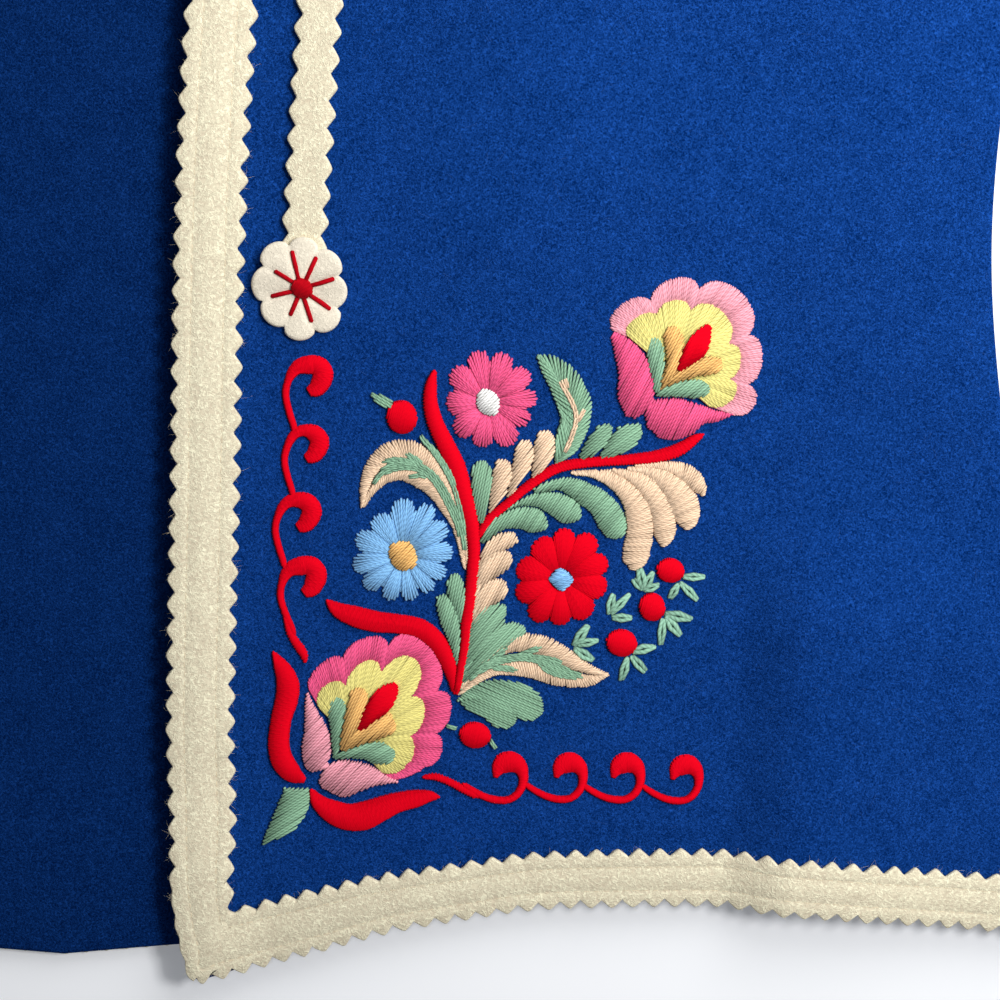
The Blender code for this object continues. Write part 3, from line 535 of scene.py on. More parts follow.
# Table, light and camera. Lamps: name, place, size, power, colour; the point that they aim at
TABLE_HALF = 1500.0
TABLE_BELOW = 0.1
# The table glows faintly: painted light that lifts the shadows cast on it
TABLE_GLOW = 0.16
ROOM_COLOUR = (0.93, 0.96, 1.0, 1.0)
ROOM_LIGHT = 0.17
LAMPS = (
    ("window", (415, 258, 480), 0.12, 2.2, (1.0, 0.985, 0.965)),
    ("sky_fill", (300, 440, 290), 0.3, 1.65, (1.0, 0.99, 0.97)),
)
AIM = (110.0, 125.0, 0.0)
EYE = (110.5, 199.7, 423.5)
EYE_TILT = -10
FOCAL_LENGTH = 63.5
SENSOR = 36.0

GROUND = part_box("back_hem_band")[0].z
FLOWER_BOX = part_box("felt_daisy_left")
UP_SHIFT = (FLOWER_BOX[0].y + FLOWER_BOX[1].y) / 2 - FLOWER_CENTRE[1] * MM


def length_property(name, description, millimetres, least):
    """A length setting, kept in metres, with its default and its least value given in millimetres."""
    return bpy.props.FloatProperty(
        name=name, description=description, default=millimetres * MM, min=least * MM,
        subtype="DISTANCE", unit="LENGTH", precision=5,
    )


class VestSizes(bpy.types.PropertyGroup):
    """Sizes that a user would change."""

    cloth: length_property("Wool", "Thickness of the wool", CLOTH, 0.5)
    felt: length_property("Felt", "Thickness of the felt", FELT, 0.3)
    cell: length_property("Cloth cell", "Grid step of the panels", 2.6, 1.0)
    thread: length_property("Thread", "Width of the embroidery thread", 0.72, 0.2)
    spacing: length_property("Stitch spacing", "Distance between neighbouring stitches", 0.6, 0.2)
    hairs: bpy.props.IntProperty(
        name="Loose fibres", description="Fibres on each front's wool and felt", default=1500, min=0
    )


def colour_property(name, default):
    """A colour setting with its name and its default in linear red, green and blue."""
    return bpy.props.FloatVectorProperty(
        name=name, description=f"Colour of the {name.lower()}", default=default,
        subtype="COLOR", size=3, min=0, max=1,
    )


class VestColours(bpy.types.PropertyGroup):
    """Colours of the cloths and threads."""

    wool: colour_property("Blue wool", (0.0011, 0.0242, 0.153))
    cream: colour_property("Cream felt", (0.920, 0.800, 0.598))
    felt_white: colour_property("White felt", (0.912, 0.833, 0.688))
    red: colour_property("Red thread", (0.720, 0.0005, 0.011))
    star: colour_property("Crimson thread", (0.430, 0.0015, 0.008))
    hot_pink: colour_property("Deep pink thread", (0.735, 0.088, 0.220))
    light_pink: colour_property("Pale pink thread", (0.940, 0.310, 0.380))
    yellow: colour_property("Yellow thread", (0.640, 0.575, 0.195))
    orange: colour_property("Orange thread", (1.000, 0.428, 0.148))
    green: colour_property("Green thread", (0.220, 0.392, 0.263))
    pale_green: colour_property("Pale green thread", (0.240, 0.440, 0.325))
    beige: colour_property("Beige thread", (0.715, 0.520, 0.365))
    light_blue: colour_property("Pale blue thread", (0.200, 0.430, 0.930))
    white: colour_property("White thread", (1.000, 0.970, 0.800))
    sewing: colour_property("Sewing thread", (0.780, 0.660, 0.470))
    table: colour_property("Table", (0.880, 0.900, 0.940))


def setting(name):
    """One of the length settings, in millimetres."""
    return round(getattr(bpy.context.scene.vest_sizes, name) / MM, 4)


def smooth_step(value):
    """Cubic ease from 0 to 1: three times the value's square less twice its cube."""
    value = np.clip(value, 0, 1)
    return value * value * (3 - 2 * value)


def ease(value, start, end):
    """Cubic ease from 0 where the value is at the start to 1 where it is at the end."""
    return smooth_step((value - start) / (end - start))


def run_along(line):
    """Length of the line up to each of its points."""
    steps = np.linalg.norm(np.diff(line[:, :2], axis=0), axis=1)
    return np.concatenate([[0], np.cumsum(steps)])


def at_run(line, wanted, values=None):
    """The line's columns, or other values of its points, read off at lengths along it."""
    values = line if values is None else values
    run = run_along(line)
    return np.column_stack([np.interp(wanted, run, values[:, k]) for k in range(values.shape[1])])


def at_share(line, shares):
    """Points of the line at shares of its length."""
    return at_run(line, np.asarray(shares) * run_along(line)[-1])


def curve(rows, step=1.0):
    """The rows joined by cubic arcs whose slopes are those of a parabola through three rows, as points a step
    apart."""
    rows = np.array(rows, float)
    steps = np.linalg.norm(np.diff(rows[:, :2], axis=0), axis=1)[:, None]
    slopes = np.diff(rows, axis=0) / steps
    inner = (slopes[:-1] * steps[1:] + slopes[1:] * steps[:-1]) / (steps[1:] + steps[:-1])
    tangents = np.vstack([slopes[:1], inner, slopes[-1:]])
    share = np.linspace(0, 1, 60, endpoint=False)[:, None]
    arcs = [
        (2 * share**3 - 3 * share**2 + 1) * rows[k]
        + (share**3 - 2 * share**2 + share) * tangents[k] * steps[k]
        + (3 * share**2 - 2 * share**3) * rows[k + 1]
        + (share**3 - share**2) * tangents[k + 1] * steps[k]
        for k in range(len(steps))
    ]
    line = np.vstack(arcs + [rows[-1:]])
    length = run_along(line)[-1]
    return at_run(line, np.linspace(0, length, max(2, int(length / step) + 1)))


def left_of(line):
    """Unit vectors that point to the left of the line as it runs."""
    ahead = np.gradient(line[:, :2], axis=0)
    ahead /= np.linalg.norm(ahead, axis=1)[:, None]
    return np.column_stack([-ahead[:, 1], ahead[:, 0]])


def moved_left(line, distance):
    """The line moved sideways, by one distance or by one for each point."""
    return line[:, :2] + left_of(line) * np.reshape(distance, (-1, 1))


def joined(first, second):
    """Two lines that meet, as one."""
    return np.vstack([first, second[1:]])


EDGE_LINE = curve(FRONT_EDGE)
FRONT_HEM_LINE = curve(FRONT_HEM)
BACK_HEM_LINE = curve(BACK_HEM)
SIDE_LINE = curve(SIDE)
BACK_NECK_LINE = curve(BACK_NECK)
SHOULDER_LINE = curve(SHOULDER)
DART_LINE = curve(DART)
WHOLE_BACK_HEM_LINE = joined(BACK_HEM_LINE[::-1] * ACROSS_MIRRORED, BACK_HEM_LINE)
WHOLE_BACK_NECK_LINE = joined(BACK_NECK_LINE[::-1], BACK_NECK_LINE * ACROSS_MIRRORED)


def corner_rounded(first, second):
    """Two lines that meet in a corner, each ending in its half of a parabola that rounds it."""
    start = first[-1 - CORNER_REACH]
    end = second[CORNER_REACH]
    share = np.linspace(0, 1, 11)[:, None]
    arc = (1 - share) ** 2 * start + 2 * share * (1 - share) * first[-1] + share**2 * end
    return np.vstack([first[: -1 - CORNER_REACH], arc[:6]]), np.vstack([arc[5:], second[CORNER_REACH + 1 :]])


ROUNDED_DOWN, ROUNDED_OUT = corner_rounded(EDGE_LINE[::-1], FRONT_HEM_LINE)


def to_shoulder(across, along):
    """Distance down from the shoulder seam."""
    (x0, y0), (x1, y1) = SHOULDER
    return ((x1 - x0) * (y0 - along) + (across - x0) * (y1 - y0)) / math.hypot(x1 - x0, y1 - y0)


def back_top(across, along):
    """Height of the back's inside: one cloth thickness, eased up over the hem and neck bands."""
    from_hem = along - np.interp(across, BACK_HEM_LINE[:, 0], BACK_HEM_LINE[:, 1])
    below_neck = np.interp(across, BACK_NECK_LINE[:, 0], BACK_NECK_LINE[:, 1]) - along
    from_neck = np.hypot(np.maximum(across - SHOULDER[0][0], 0), below_neck)
    near = np.minimum(from_hem, from_neck)
    return setting("cloth") + BACK_STEP * smooth_step(1 - (near - STEP_WIDTH) / STEP_RAMP)


def fold_height(across, along, side):
    """Sum of the soft folds of one front, each a ridge that eases off across and towards both ends."""
    total = np.zeros_like(across)
    for fold_side, x0, y0, x1, y1, inner, outer, height in FOLDS:
        if fold_side != side:
            continue
        length = math.hypot(x1 - x0, y1 - y0)
        run = ((across - x0) * (x1 - x0) + (along - y0) * (y1 - y0)) / length
        off = ((across - x0) * (y1 - y0) - (along - y0) * (x1 - x0)) / length
        fade = smooth_step(run / FOLD_FADE) * smooth_step((length - run) / FOLD_FADE)
        total += height * fade * smooth_step(1 - np.abs(off) / np.where(off > 0, outer, inner))
    return total


def ripple_height(across, along, side):
    """Faint waves of the lying cloth: a sum of sines in several directions, never below zero."""
    total = np.zeros_like(across)
    for height, wave_across, wave_along in RIPPLES:
        phase = 2 * np.pi * (across * wave_across + along * wave_along) + RIPPLE_SHIFT * side
        total += height * (1 + np.sin(phase))
    return total / 2


def seam_room(across, along):
    """How much more room the two layers take beside the side and shoulder seams."""
    to_side = np.interp(along, SIDE_LINE[:, 1], SIDE_LINE[:, 0]) - across
    below_armhole = smooth_step(1 - (along - SIDE[-1][1]) / ARMHOLE_FADE)
    beside_side = smooth_step(1 - to_side / SEAM_REACH) * below_armhole
    beside_shoulder = smooth_step(1 - to_shoulder(across, along) / SEAM_REACH)
    return SEAM_ROOM * np.maximum(beside_side, beside_shoulder)


def front_under(across, along, side):
    """Height of a front's underside: the back, the rest gap, seam room, folds, edge curl, less the droop."""
    past_hem = np.interp(across, BACK_HEM_LINE[:, 0], BACK_HEM_LINE[:, 1]) - along
    from_edge = across - np.interp(along, EDGE_LINE[:, 1], EDGE_LINE[:, 0])
    curl = EDGE_CURL * smooth_step(1 - from_edge / EDGE_CURL_REACH)
    droop = DROOP * smooth_step(past_hem / DROOP_REACH)
    waves = fold_height(across, along, side) + ripple_height(across, along, side)
    return back_top(across, along) + REST + seam_room(across, along) + waves + curl - droop


def front_top(across, along, side):
    """Height of a front's outside: the underside plus the wall measured square to the slope."""
    across = np.abs(across)
    here = front_under(across, along, side)
    slope_across = (front_under(across + SLOPE_STEP, along, side) - here) / SLOPE_STEP
    slope_along = (front_under(across, along + SLOPE_STEP, side) - here) / SLOPE_STEP
    return here + setting("cloth") * np.sqrt(1 + slope_across**2 + slope_along**2)


def on_front(side, room):
    """Height function of what lies on a front with some room under it."""
    return lambda across, along: front_top(across, along, side) + room


def on_strip_end(side, room=0.0):
    """Height function of the felt flower: the front, and a step up over the end of the strip."""

    def height(across, along):
        """The front's height, the gap, and the step where the strip lies below."""
        over_strip = smooth_step(1 - (DART[0][1] - FLOWER_CLEAR - along) / FLOWER_CLIMB)
        step = (setting("felt") + FELT_GAP) * over_strip
        return front_top(across, along, side) + FELT_GAP + step + room

    return height


def on_table(across, along):
    """Height of the level table, for the bands under the back."""
    return np.zeros_like(across * along)


def placed(points):
    """Points in millimetres on the garment as points in metres in the frame."""
    return points * MM + (0, UP_SHIFT, GROUND)


def new_piece(name, points, faces, materials, replaces=(), slot=None):
    """A smooth mesh object at the origin, riding on the garment's one body. Its faces are given as arrays of
    vertex numbers, one array for each number of corners."""
    mesh = bpy.data.meshes.new(name)
    loops = np.concatenate([part.reshape(-1) for part in faces]).astype(np.int32)
    sizes = np.concatenate([np.full(len(part), part.shape[1]) for part in faces]).astype(np.int32)
    mesh.vertices.add(len(points))
    mesh.vertices.foreach_set("co", placed(points).astype(np.float32).reshape(-1))
    mesh.loops.add(len(loops))
    mesh.loops.foreach_set("vertex_index", loops)
    mesh.polygons.add(len(sizes))
    starts = np.concatenate([[0], np.cumsum(sizes)[:-1]]).astype(np.int32)
    mesh.polygons.foreach_set("loop_start", starts)
    mesh.polygons.foreach_set("use_smooth", np.ones(len(sizes), bool))
    mesh.update(calc_edges=True)
    mesh.validate()
    for material in materials:
        mesh.materials.append(material)
    obj = bpy.data.objects.new(name, mesh)
    bpy.context.scene.collection.objects.link(obj)
    if replaces:
        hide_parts(*replaces)
    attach(obj, "root")
    return obj


def on_side(side, points, faces):
    """Points and faces as made for the left, or mirrored for the right with the faces still outwards."""
    if side == LEFT:
        return points, faces
    return points * MIRRORED, [part[:, ::-1] for part in faces]


def tube_faces(stations, around):
    """Quads between the neighbouring stations of a closed tube: here, next one round, both a station on."""
    ring = np.arange(around)
    start = np.arange(stations - 1)[:, None] * around
    here, beside = start + ring, start + (ring + 1) % around
    return np.stack([here, beside, beside + around, here + around], axis=2).reshape(-1, 4)


def many_tubes(count, stations, around):
    """Quads of many like tubes, one after another, and the two caps of each."""
    ring = np.arange(around)
    caps = np.array([ring[::-1], ring + (stations - 1) * around])
    shift = (np.arange(count) * stations * around)[:, None, None]
    tubes = (tube_faces(stations, around) + shift).reshape(-1, 4)
    return [tubes, (caps + shift).reshape(-1, around)]


def patch(left, right, bottom, top, columns, rows):
    """Coons patch between four sides: the two ruled surfaces added, less the one through the four corners."""
    s = np.reshape(columns, (1, -1, 1))
    t = np.reshape(rows, (-1, 1, 1))
    between_sides = (1 - s) * left[:, None] + s * right[:, None]
    between_ends = (1 - t) * bottom[None] + t * top[None]
    low = (1 - s) * bottom[0] + s * bottom[-1]
    high = (1 - s) * top[0] + s * top[-1]
    return between_sides + between_ends - (1 - t) * low - t * high


def even_shares(length, cell, breaks=(0.0, 1.0)):
    """Shares of a length: even cells between the breaks, with two narrow cells at each outer end."""
    parts = []
    for low, high in zip(breaks[:-1], breaks[1:]):
        count = max(2, round((high - low) * length / cell))
        parts.append(np.linspace(low, high, count, endpoint=False))
    shares = np.concatenate(parts + [[1.0]])
    near = np.array(RIM) / length
    inside = shares[(shares > 1.5 * near[-1]) & (shares < 1 - 1.5 * near[-1])]
    return np.concatenate([[0], near, inside, 1 - near[::-1], [1]])


def outward_of(line):
    """Unit vectors square to the line, on the side away from the panels' inner point."""
    square = left_of(line)
    facing = np.sum(square * (line[:, :2] - INNER_POINT), axis=1)
    return square * np.sign(facing)[:, None]


def rolled(grid, angles, turn, axis=0):
    """The grid with rings past its last row, or past its last column where the axis is 1. They bend by the
    angles along circular arcs, up where turn is 1 and down where -1."""
    edge = grid[:, -1] if axis else grid[-1]
    outward = outward_of(edge)
    length = ROLL_RADIUS * QUARTER_TURN
    parts = [grid]
    for k in range(1, ROLL_RINGS + 1):
        bend = angles * k / ROLL_RINGS
        run = length * k / ROLL_RINGS
        level = run * np.sinc(bend / math.pi)
        rise = run * bend / 2 * np.sinc(bend / 2 / math.pi) ** 2
        ring = np.column_stack([edge[:, :2] + outward * level[:, None], edge[:, 2] + turn * rise])
        parts.append(np.expand_dims(ring, axis))
    return np.concatenate(parts, axis)


def mirrored(grid):
    """The grid on the other side of the centre line, its columns still running right."""
    return grid[:, ::-1] * MIRRORED


def grid_faces(rows, columns):
    """Quads of a grid of points, anticlockwise when rows run up and columns run right."""
    corner = (np.arange(rows - 1)[:, None] * columns + np.arange(columns - 1)).reshape(-1)
    return np.column_stack([corner, corner + 1, corner + columns + 1, corner + columns])


def border_of(rows, columns):
    """Indices of a grid's border points, anticlockwise."""
    bottom = np.arange(columns)
    right = np.arange(1, rows) * columns + columns - 1
    top = (rows - 1) * columns + np.arange(columns - 2, -1, -1)
    left = np.arange(rows - 2, 0, -1) * columns
    return np.concatenate([bottom, right, top, left])


def cloth_shell(grid, wall, upwards):
    """A closed wall on one side of a grid: the grid moved along its normals, joined round the border by a
    ring that bulges out half way up, with the cut edge softened over the two narrow cells."""
    normal = np.cross(np.gradient(grid, axis=1), np.gradient(grid, axis=0))
    normal /= np.linalg.norm(normal, axis=2)[..., None]
    upper, lower = (grid + normal * wall, grid) if upwards else (grid, grid - normal * wall)
    rows, columns = grid.shape[:2]
    from_ends = [np.minimum(np.arange(size), np.arange(size)[::-1]) for size in (rows, columns)]
    pressed = np.interp(np.minimum.outer(*from_ends), [0, 1, 2], EDGE_PRESSED)[..., None] * wall
    border = border_of(rows, columns)
    low = lower.reshape(-1, 3)
    high = (upper - normal * pressed).reshape(-1, 3)
    loop = np.vstack([low[border[-1:]], low[border], low[border[:1]]])
    middle = low[border] * (1 - BULGE_HEIGHT) + high[border] * BULGE_HEIGHT
    middle[:, :2] -= left_of(loop)[1:-1] * EDGE_BULGE
    count = rows * columns
    top_faces = grid_faces(rows, columns)
    ring = 2 * count + np.arange(len(border))
    next_ring = np.roll(ring, -1)
    next_border = np.roll(border, -1)
    sides = [
        np.column_stack([border + count, next_border + count, next_ring, ring]),
        np.column_stack([ring, next_ring, next_border, border]),
    ]
    return np.vstack([high, low, middle]), [np.vstack([top_faces, top_faces[:, ::-1] + count, *sides])]


def outer_side(armhole, cell):
    """The side seam and armhole as one line, the shares of its length where rows meet it, and how far each
    row rolls over there: a quarter turn up to the underarm, easing off past it."""
    line = joined(SIDE_LINE, curve(armhole))
    length = run_along(line)[-1]
    underarm = run_along(SIDE_LINE)[-1] / length
    rows = even_shares(length, cell, (0.0, underarm, 1.0))
    angles = QUARTER_TURN * smooth_step(1 - (rows - underarm) * length / ARMHOLE_ROLL)
    return line, rows, angles


def front_surface(side, cell):
    """Underside of a front as a grid between its cut edges, drawn in a little under the bands, with its side
    and shoulder edges rolled down to the seams."""
    outer, rows, angles = outer_side(FRONT_ARMHOLE, cell)
    columns = even_shares(FRONT_SPAN, cell)
    left = at_share(ROUNDED_DOWN[::-1], rows)
    from_ends = smooth_step(rows / CUT_IN_SHARE) * smooth_step((1 - rows) / CUT_IN_SHARE)
    left = left + np.outer(from_ends, (CUT_IN, 0))
    bottom = at_share(ROUNDED_OUT, columns)
    from_corner = smooth_step((bottom[:, 0] - bottom[0, 0]) / CUT_IN_EASE) * (columns < 1)
    bottom = bottom + np.outer(from_corner, (0, CUT_IN))
    plan = patch(left, at_share(outer, rows), bottom, at_share(SHOULDER_LINE, columns), columns, rows)
    grid = np.dstack([plan, front_under(plan[..., 0], plan[..., 1], side)])
    grid = rolled(grid, angles, -1, axis=1)
    grid = rolled(grid, np.full(grid.shape[1], QUARTER_TURN), -1)
    return grid if side == LEFT else mirrored(grid)


def back_surface(cell):
    """Inside of the back as a grid, with its side and shoulder edges rolled up to the seams."""
    outer, rows, angles = outer_side(BACK_ARMHOLE, cell)
    neck = SHOULDER[0][0] / SHOULDER[1][0]
    columns = even_shares(BACK_SPAN, cell, (0.0, (1 - neck) / 2, 0.5, (1 + neck) / 2, 1.0))
    half = np.abs(2 * columns - 1)
    right = at_share(outer, rows)
    bottom = at_share(WHOLE_BACK_HEM_LINE, columns)
    at_neck = at_share(BACK_NECK_LINE, np.clip(half / neck, 0, 1))
    at_shoulder = at_share(SHOULDER_LINE, np.clip((half - neck) / (1 - neck), 0, 1))
    top = np.where((half <= neck)[:, None], at_neck, at_shoulder)
    top[:, 0] *= np.where(columns < 0.5, -1, 1)
    plan = patch(right * ACROSS_MIRRORED, right, bottom, top, columns, rows)
    grid = np.dstack([plan, back_top(np.abs(plan[..., 0]), plan[..., 1])])
    grid = mirrored(rolled(grid, angles, 1, axis=1))
    grid = mirrored(rolled(grid, angles, 1, axis=1))
    past_neck = np.abs(grid[-1, :, 0]) - SHOULDER[0][0]
    return rolled(grid, QUARTER_TURN * smooth_step(past_neck / NECK_ROLL + 0.5), 1)


def tooth_shape(place):
    """How far in a pinked edge stands at a place counted in teeth: a zigzag with its corners rounded to a
    hyperbola's branch, scaled to run from 0 to 1."""
    zigzag = np.abs(2 * (place % 1) - 1)
    rounded = np.sqrt(zigzag**2 + TIP_ROUNDING**2) - TIP_ROUNDING
    return rounded / (math.sqrt(1 + TIP_ROUNDING**2) - TIP_ROUNDING)


def teeth(place, count, cut, rng):
    """The tooth shape at each place, each tooth cut a little deeper or shallower."""
    cuts = rng.uniform(*cut, count + 1)
    return tooth_shape(place) * cuts[np.minimum(place.astype(int), count)]


def stations_joined(first, second):
    """The stations of two legs that meet, as one run."""
    return {key: np.concatenate([first[key], second[key][1:]]) for key in first}


def felt_band(name, stations, base, grooves, replaces, lift=0.0, seed=0):
    """A felt band as a section carried along the stations. Near its cut edges the section follows the teeth,
    which lift a little here and there; between them it follows the tip lines, pressed down along the rows of
    sewing. Ends are closed flat."""
    rng = np.random.default_rng(seed)
    wall = setting("felt")
    outer, inner = stations["outer"], stations["inner"]
    across = inner - outer
    centre = (outer + inner) / 2
    ahead = across / np.linalg.norm(across, axis=1)[:, None]
    dimple = np.cos(math.pi * run_along(outer) / (STITCH_LENGTH + STITCH_GAP)) ** 8
    pressed = GROOVE_DEPTH * (GROOVE_BETWEEN + (1 - GROOVE_BETWEEN) * dimple) / wall
    places = sorted({LEVEL_FROM, *[groove + place for groove in grooves for place in GROOVE_PLACES]})
    between = []
    for place in places:
        press = max([0.0, *[1 - abs(place - groove) / GROOVE_REACH for groove in grooves]])
        between.append(((place / stations["width"])[:, None], 1.0 - press * pressed))

    outer_cut, inner_cut = stations["outer_cut"], stations["inner_cut"]
    rows = [
        *[(outer_cut + ahead * distance, share, 1.0) for distance, share in EDGE_SECTION],
        *[(outer + across * share, height, 0.0) for share, height in between],
        (centre, 1.0, 0.0),
        *[(outer + across * (1 - share), height, 0.0) for share, height in between[::-1]],
        *[(inner_cut - ahead * distance, share, 1.0) for distance, share in EDGE_SECTION[::-1]],
        *[(inner_cut - ahead * distance, share, 0.0) for distance, share in UNDER_SECTION],
        (centre, 0.0, 0.0),
        *[(outer_cut + ahead * distance, share, 0.0) for distance, share in UNDER_SECTION[::-1]],
    ]
    soft = np.clip(rng.normal(0, 1, len(outer) // PER_TOOTH + 2), 0, 2)
    curl = lift * np.interp(np.arange(len(outer)) / PER_TOOTH, np.arange(len(soft)), soft)
    sections = [
        np.column_stack([plan, base(plan[:, 0], plan[:, 1]) + wall * share + curl * near_edge])
        for plan, share, near_edge in rows
    ]
    grid = np.stack(sections, axis=1)
    count, around = grid.shape[:2]
    start = np.arange(around)[None]
    end = start[:, ::-1] + (count - 1) * around
    faces = [tube_faces(count, around)[:, [0, 3, 2, 1]], start, end]
    return new_piece(name, grid.reshape(-1, 3), faces, [named("felt_cream")], replaces, "cream_felt")


def band_reach(share):
    """How far in from the cloth's edge a front's band reaches: 0 is as at the hem, 1 as at the front edge."""
    return HEM_BAND_WIDTH + (FRONT_BAND_WIDTH - HEM_BAND_WIDTH) * share - TIP_OVER_CLOTH


def edge_band_stations(side):
    """Stations of the left edge band: down the neckline and front edge, round the corner, and out along the
    hem. Near the corner the inner stations draw together in the mitre. The side only picks how it is cut."""
    rng = np.random.default_rng(11 + side)
    off_corner = ease(ROUNDED_DOWN[:, 1], *TIPS_IN_FROM)
    outer_down = moved_left(ROUNDED_DOWN, TIPS_IN * off_corner - TIP_OVER_CLOTH)
    outer_out = moved_left(ROUNDED_OUT, -TIP_OVER_CLOTH)
    edge_down = EDGE_LINE[::-1]
    inner_down = moved_left(edge_down, band_reach(ease(edge_down[:, 1], *NARROWING)))
    inner_out = moved_left(FRONT_HEM_LINE, band_reach(ease(FRONT_HEM_LINE[:, 0], *HEM_WIDENING)))
    inner_down = inner_down[inner_down[:, 1] > np.interp(inner_down[:, 0], inner_out[:, 0], inner_out[:, 1])]
    notch = inner_down[-1]
    inner_out = np.vstack([notch, inner_out[inner_out[:, 0] > notch[0]]])
    down = leg_stations(outer_down, inner_down, FRONT_PITCH, TOOTH_DEPTH, FRONT_BAND_WIDTH, rng)
    to_go = run_along(outer_down)[-1] - run_along(down["outer"])
    along_front = smooth_step((to_go - ROLLED_LENGTH) / FRONT_PITCH)
    depth = (ROLLED_TOOTH_SHARE + (1 - ROLLED_TOOTH_SHARE) * along_front) * OUTER_TOOTH_SHARE
    down["outer_cut"] = down["outer"] + (down["outer_cut"] - down["outer"]) * depth[:, None]
    down["inner_cut"] = down["inner"] + (down["inner_cut"] - down["inner"]) * INNER_TOOTH_SHARE
    out = leg_stations(outer_out[::-1], inner_out[::-1], HEM_PITCH, HEM_TOOTH_DEPTH, HEM_BAND_WIDTH, rng)
    return stations_joined(down, {key: value[::-1] for key, value in out.items()})


def leg_stations(outer, inner, pitch, depth, width, rng):
    """Stations of a leg that ends in a mitre: level across it, then drawn together over the last stretch.
    Each has its points on the two tip lines, the points cut in from them by the teeth, and its width."""
    outer_length = run_along(outer)[-1]
    inner_length = run_along(inner)[-1]
    count = round(outer_length / pitch)
    place = np.arange(count * PER_TOOTH + 1) / PER_TOOTH
    outer_in = teeth(place, count, TOOTH_CUT, rng)
    run = place / count * outer_length
    extra = outer_length - inner_length
    stretch = MITRE_REACH * abs(extra)
    drawn = np.clip((run - (outer_length - stretch)) / stretch, 0, 1)
    inner_run = np.clip(run - extra * drawn**2, 0, inner_length)
    inner_count = max(1, round(inner_length / pitch))
    inner_in = teeth(inner_run / inner_length * inner_count, inner_count, INNER_TOOTH_CUT, rng)
    outer_at = at_run(outer, run)
    inner_at = at_run(inner, inner_run)
    square, inner_square = at_run(outer, run, left_of(outer)), at_run(inner, inner_run, left_of(inner))
    square /= np.linalg.norm(square, axis=1)[:, None]
    inner_square /= np.linalg.norm(inner_square, axis=1)[:, None]
    nominal = np.sum((inner_at - outer_at) * square, axis=1)
    facing = np.sign(nominal[len(nominal) // 2])
    return {
        "outer": outer_at,
        "inner": inner_at,
        "outer_cut": outer_at + facing * square * depth * outer_in[:, None],
        "inner_cut": inner_at - facing * inner_square * depth * inner_in[:, None],
        "width": np.maximum(nominal * facing, width * NARROWEST),
    }


def parallel_stations(line, near, far, pitch, depth, rng):
    """Stations of a straight-sided band between two lines beside the given one, both edges pinked."""
    return leg_stations(moved_left(line, near), moved_left(line, far), pitch, depth, abs(far - near), rng)


def mirrored_stations(stations, side):
    """Stations on the wearer's left or right. The right ones run the other way, so that the section still
    faces up."""
    if side == LEFT:
        return stations
    turned = {key: value[::-1] for key, value in stations.items()}
    return {key: value * ACROSS_MIRRORED if value.ndim == 2 else value for key, value in turned.items()}


def sewn_line(line, rng):
    """Rows of stitches along a line: each a stitch length with a small gap, a little out of true."""
    step = STITCH_LENGTH + STITCH_GAP
    start = np.arange(0.5, run_along(line)[-1] - step, step)
    first = at_run(line, start)
    last = at_run(line, start + STITCH_LENGTH)
    first += rng.normal(0, OUT_OF_TRUE, first.shape)
    last += rng.normal(0, OUT_OF_TRUE, last.shape)
    return stitch_rows(first, last, "white", SEWING_RISE, 0, SEWING_HALF)


def stitch_rows(first, last, thread, rise, layer, half_width, middle=None):
    """Stitches as rows: start, middle and end in plan, thread, rise, layer and half width."""
    first, last = np.atleast_2d(first), np.atleast_2d(last)
    middle = (first + last) / 2 if middle is None else middle
    rows = np.empty((len(first), 10))
    rows[:, 0:2], rows[:, 2:4], rows[:, 4:6] = first, middle, last
    rows[:, 6] = THREADS.index(thread) if thread in THREADS else len(THREADS)
    rows[:, 7], rows[:, 8], rows[:, 9] = rise, layer, half_width
    return rows


def padded_rise(first, last):
    """How high a stitch is padded: long ones lie over more than short ones."""
    start, growth, least, most = PADDING
    return np.clip(start + growth * np.linalg.norm(last - first, axis=1), least, most)


def hatched(outline, angle, spacing):
    """Parallel stitches that fill an outline: the outline is turned until they lie level, cut by evenly
    spaced levels, and the crossings of each level are taken in pairs."""
    turn = math.radians(angle)
    spin = np.array([[math.cos(turn), -math.sin(turn)], [math.sin(turn), math.cos(turn)]])
    flat = outline @ spin
    after = np.roll(flat, -1, axis=0)
    levels = np.arange(flat[:, 1].min() + spacing / 2, flat[:, 1].max(), spacing)[:, None]
    low, high = flat[None, :, 1], after[None, :, 1]
    crosses = (low <= levels) != (high <= levels)
    slope = (levels - low) / np.where(crosses, high - low, 1)
    place = np.where(crosses, flat[None, :, 0] + slope * (after[None, :, 0] - flat[None, :, 0]), np.inf)
    place = np.sort(place, axis=1)
    starts, ends = place[:, 0:-1:2], place[:, 1::2]
    count = min(starts.shape[1], ends.shape[1])
    starts, ends = starts[:, :count], ends[:, :count]
    whole = np.isfinite(ends)
    starts, ends = np.where(whole, starts, 0), np.where(whole, ends, 0)
    found = ends - starts > SHORTEST_LEVEL
    level = np.broadcast_to(levels, starts.shape)[found]
    first = np.column_stack([starts[found], level]) @ spin.T
    last = np.column_stack([ends[found], level]) @ spin.T
    return first, last


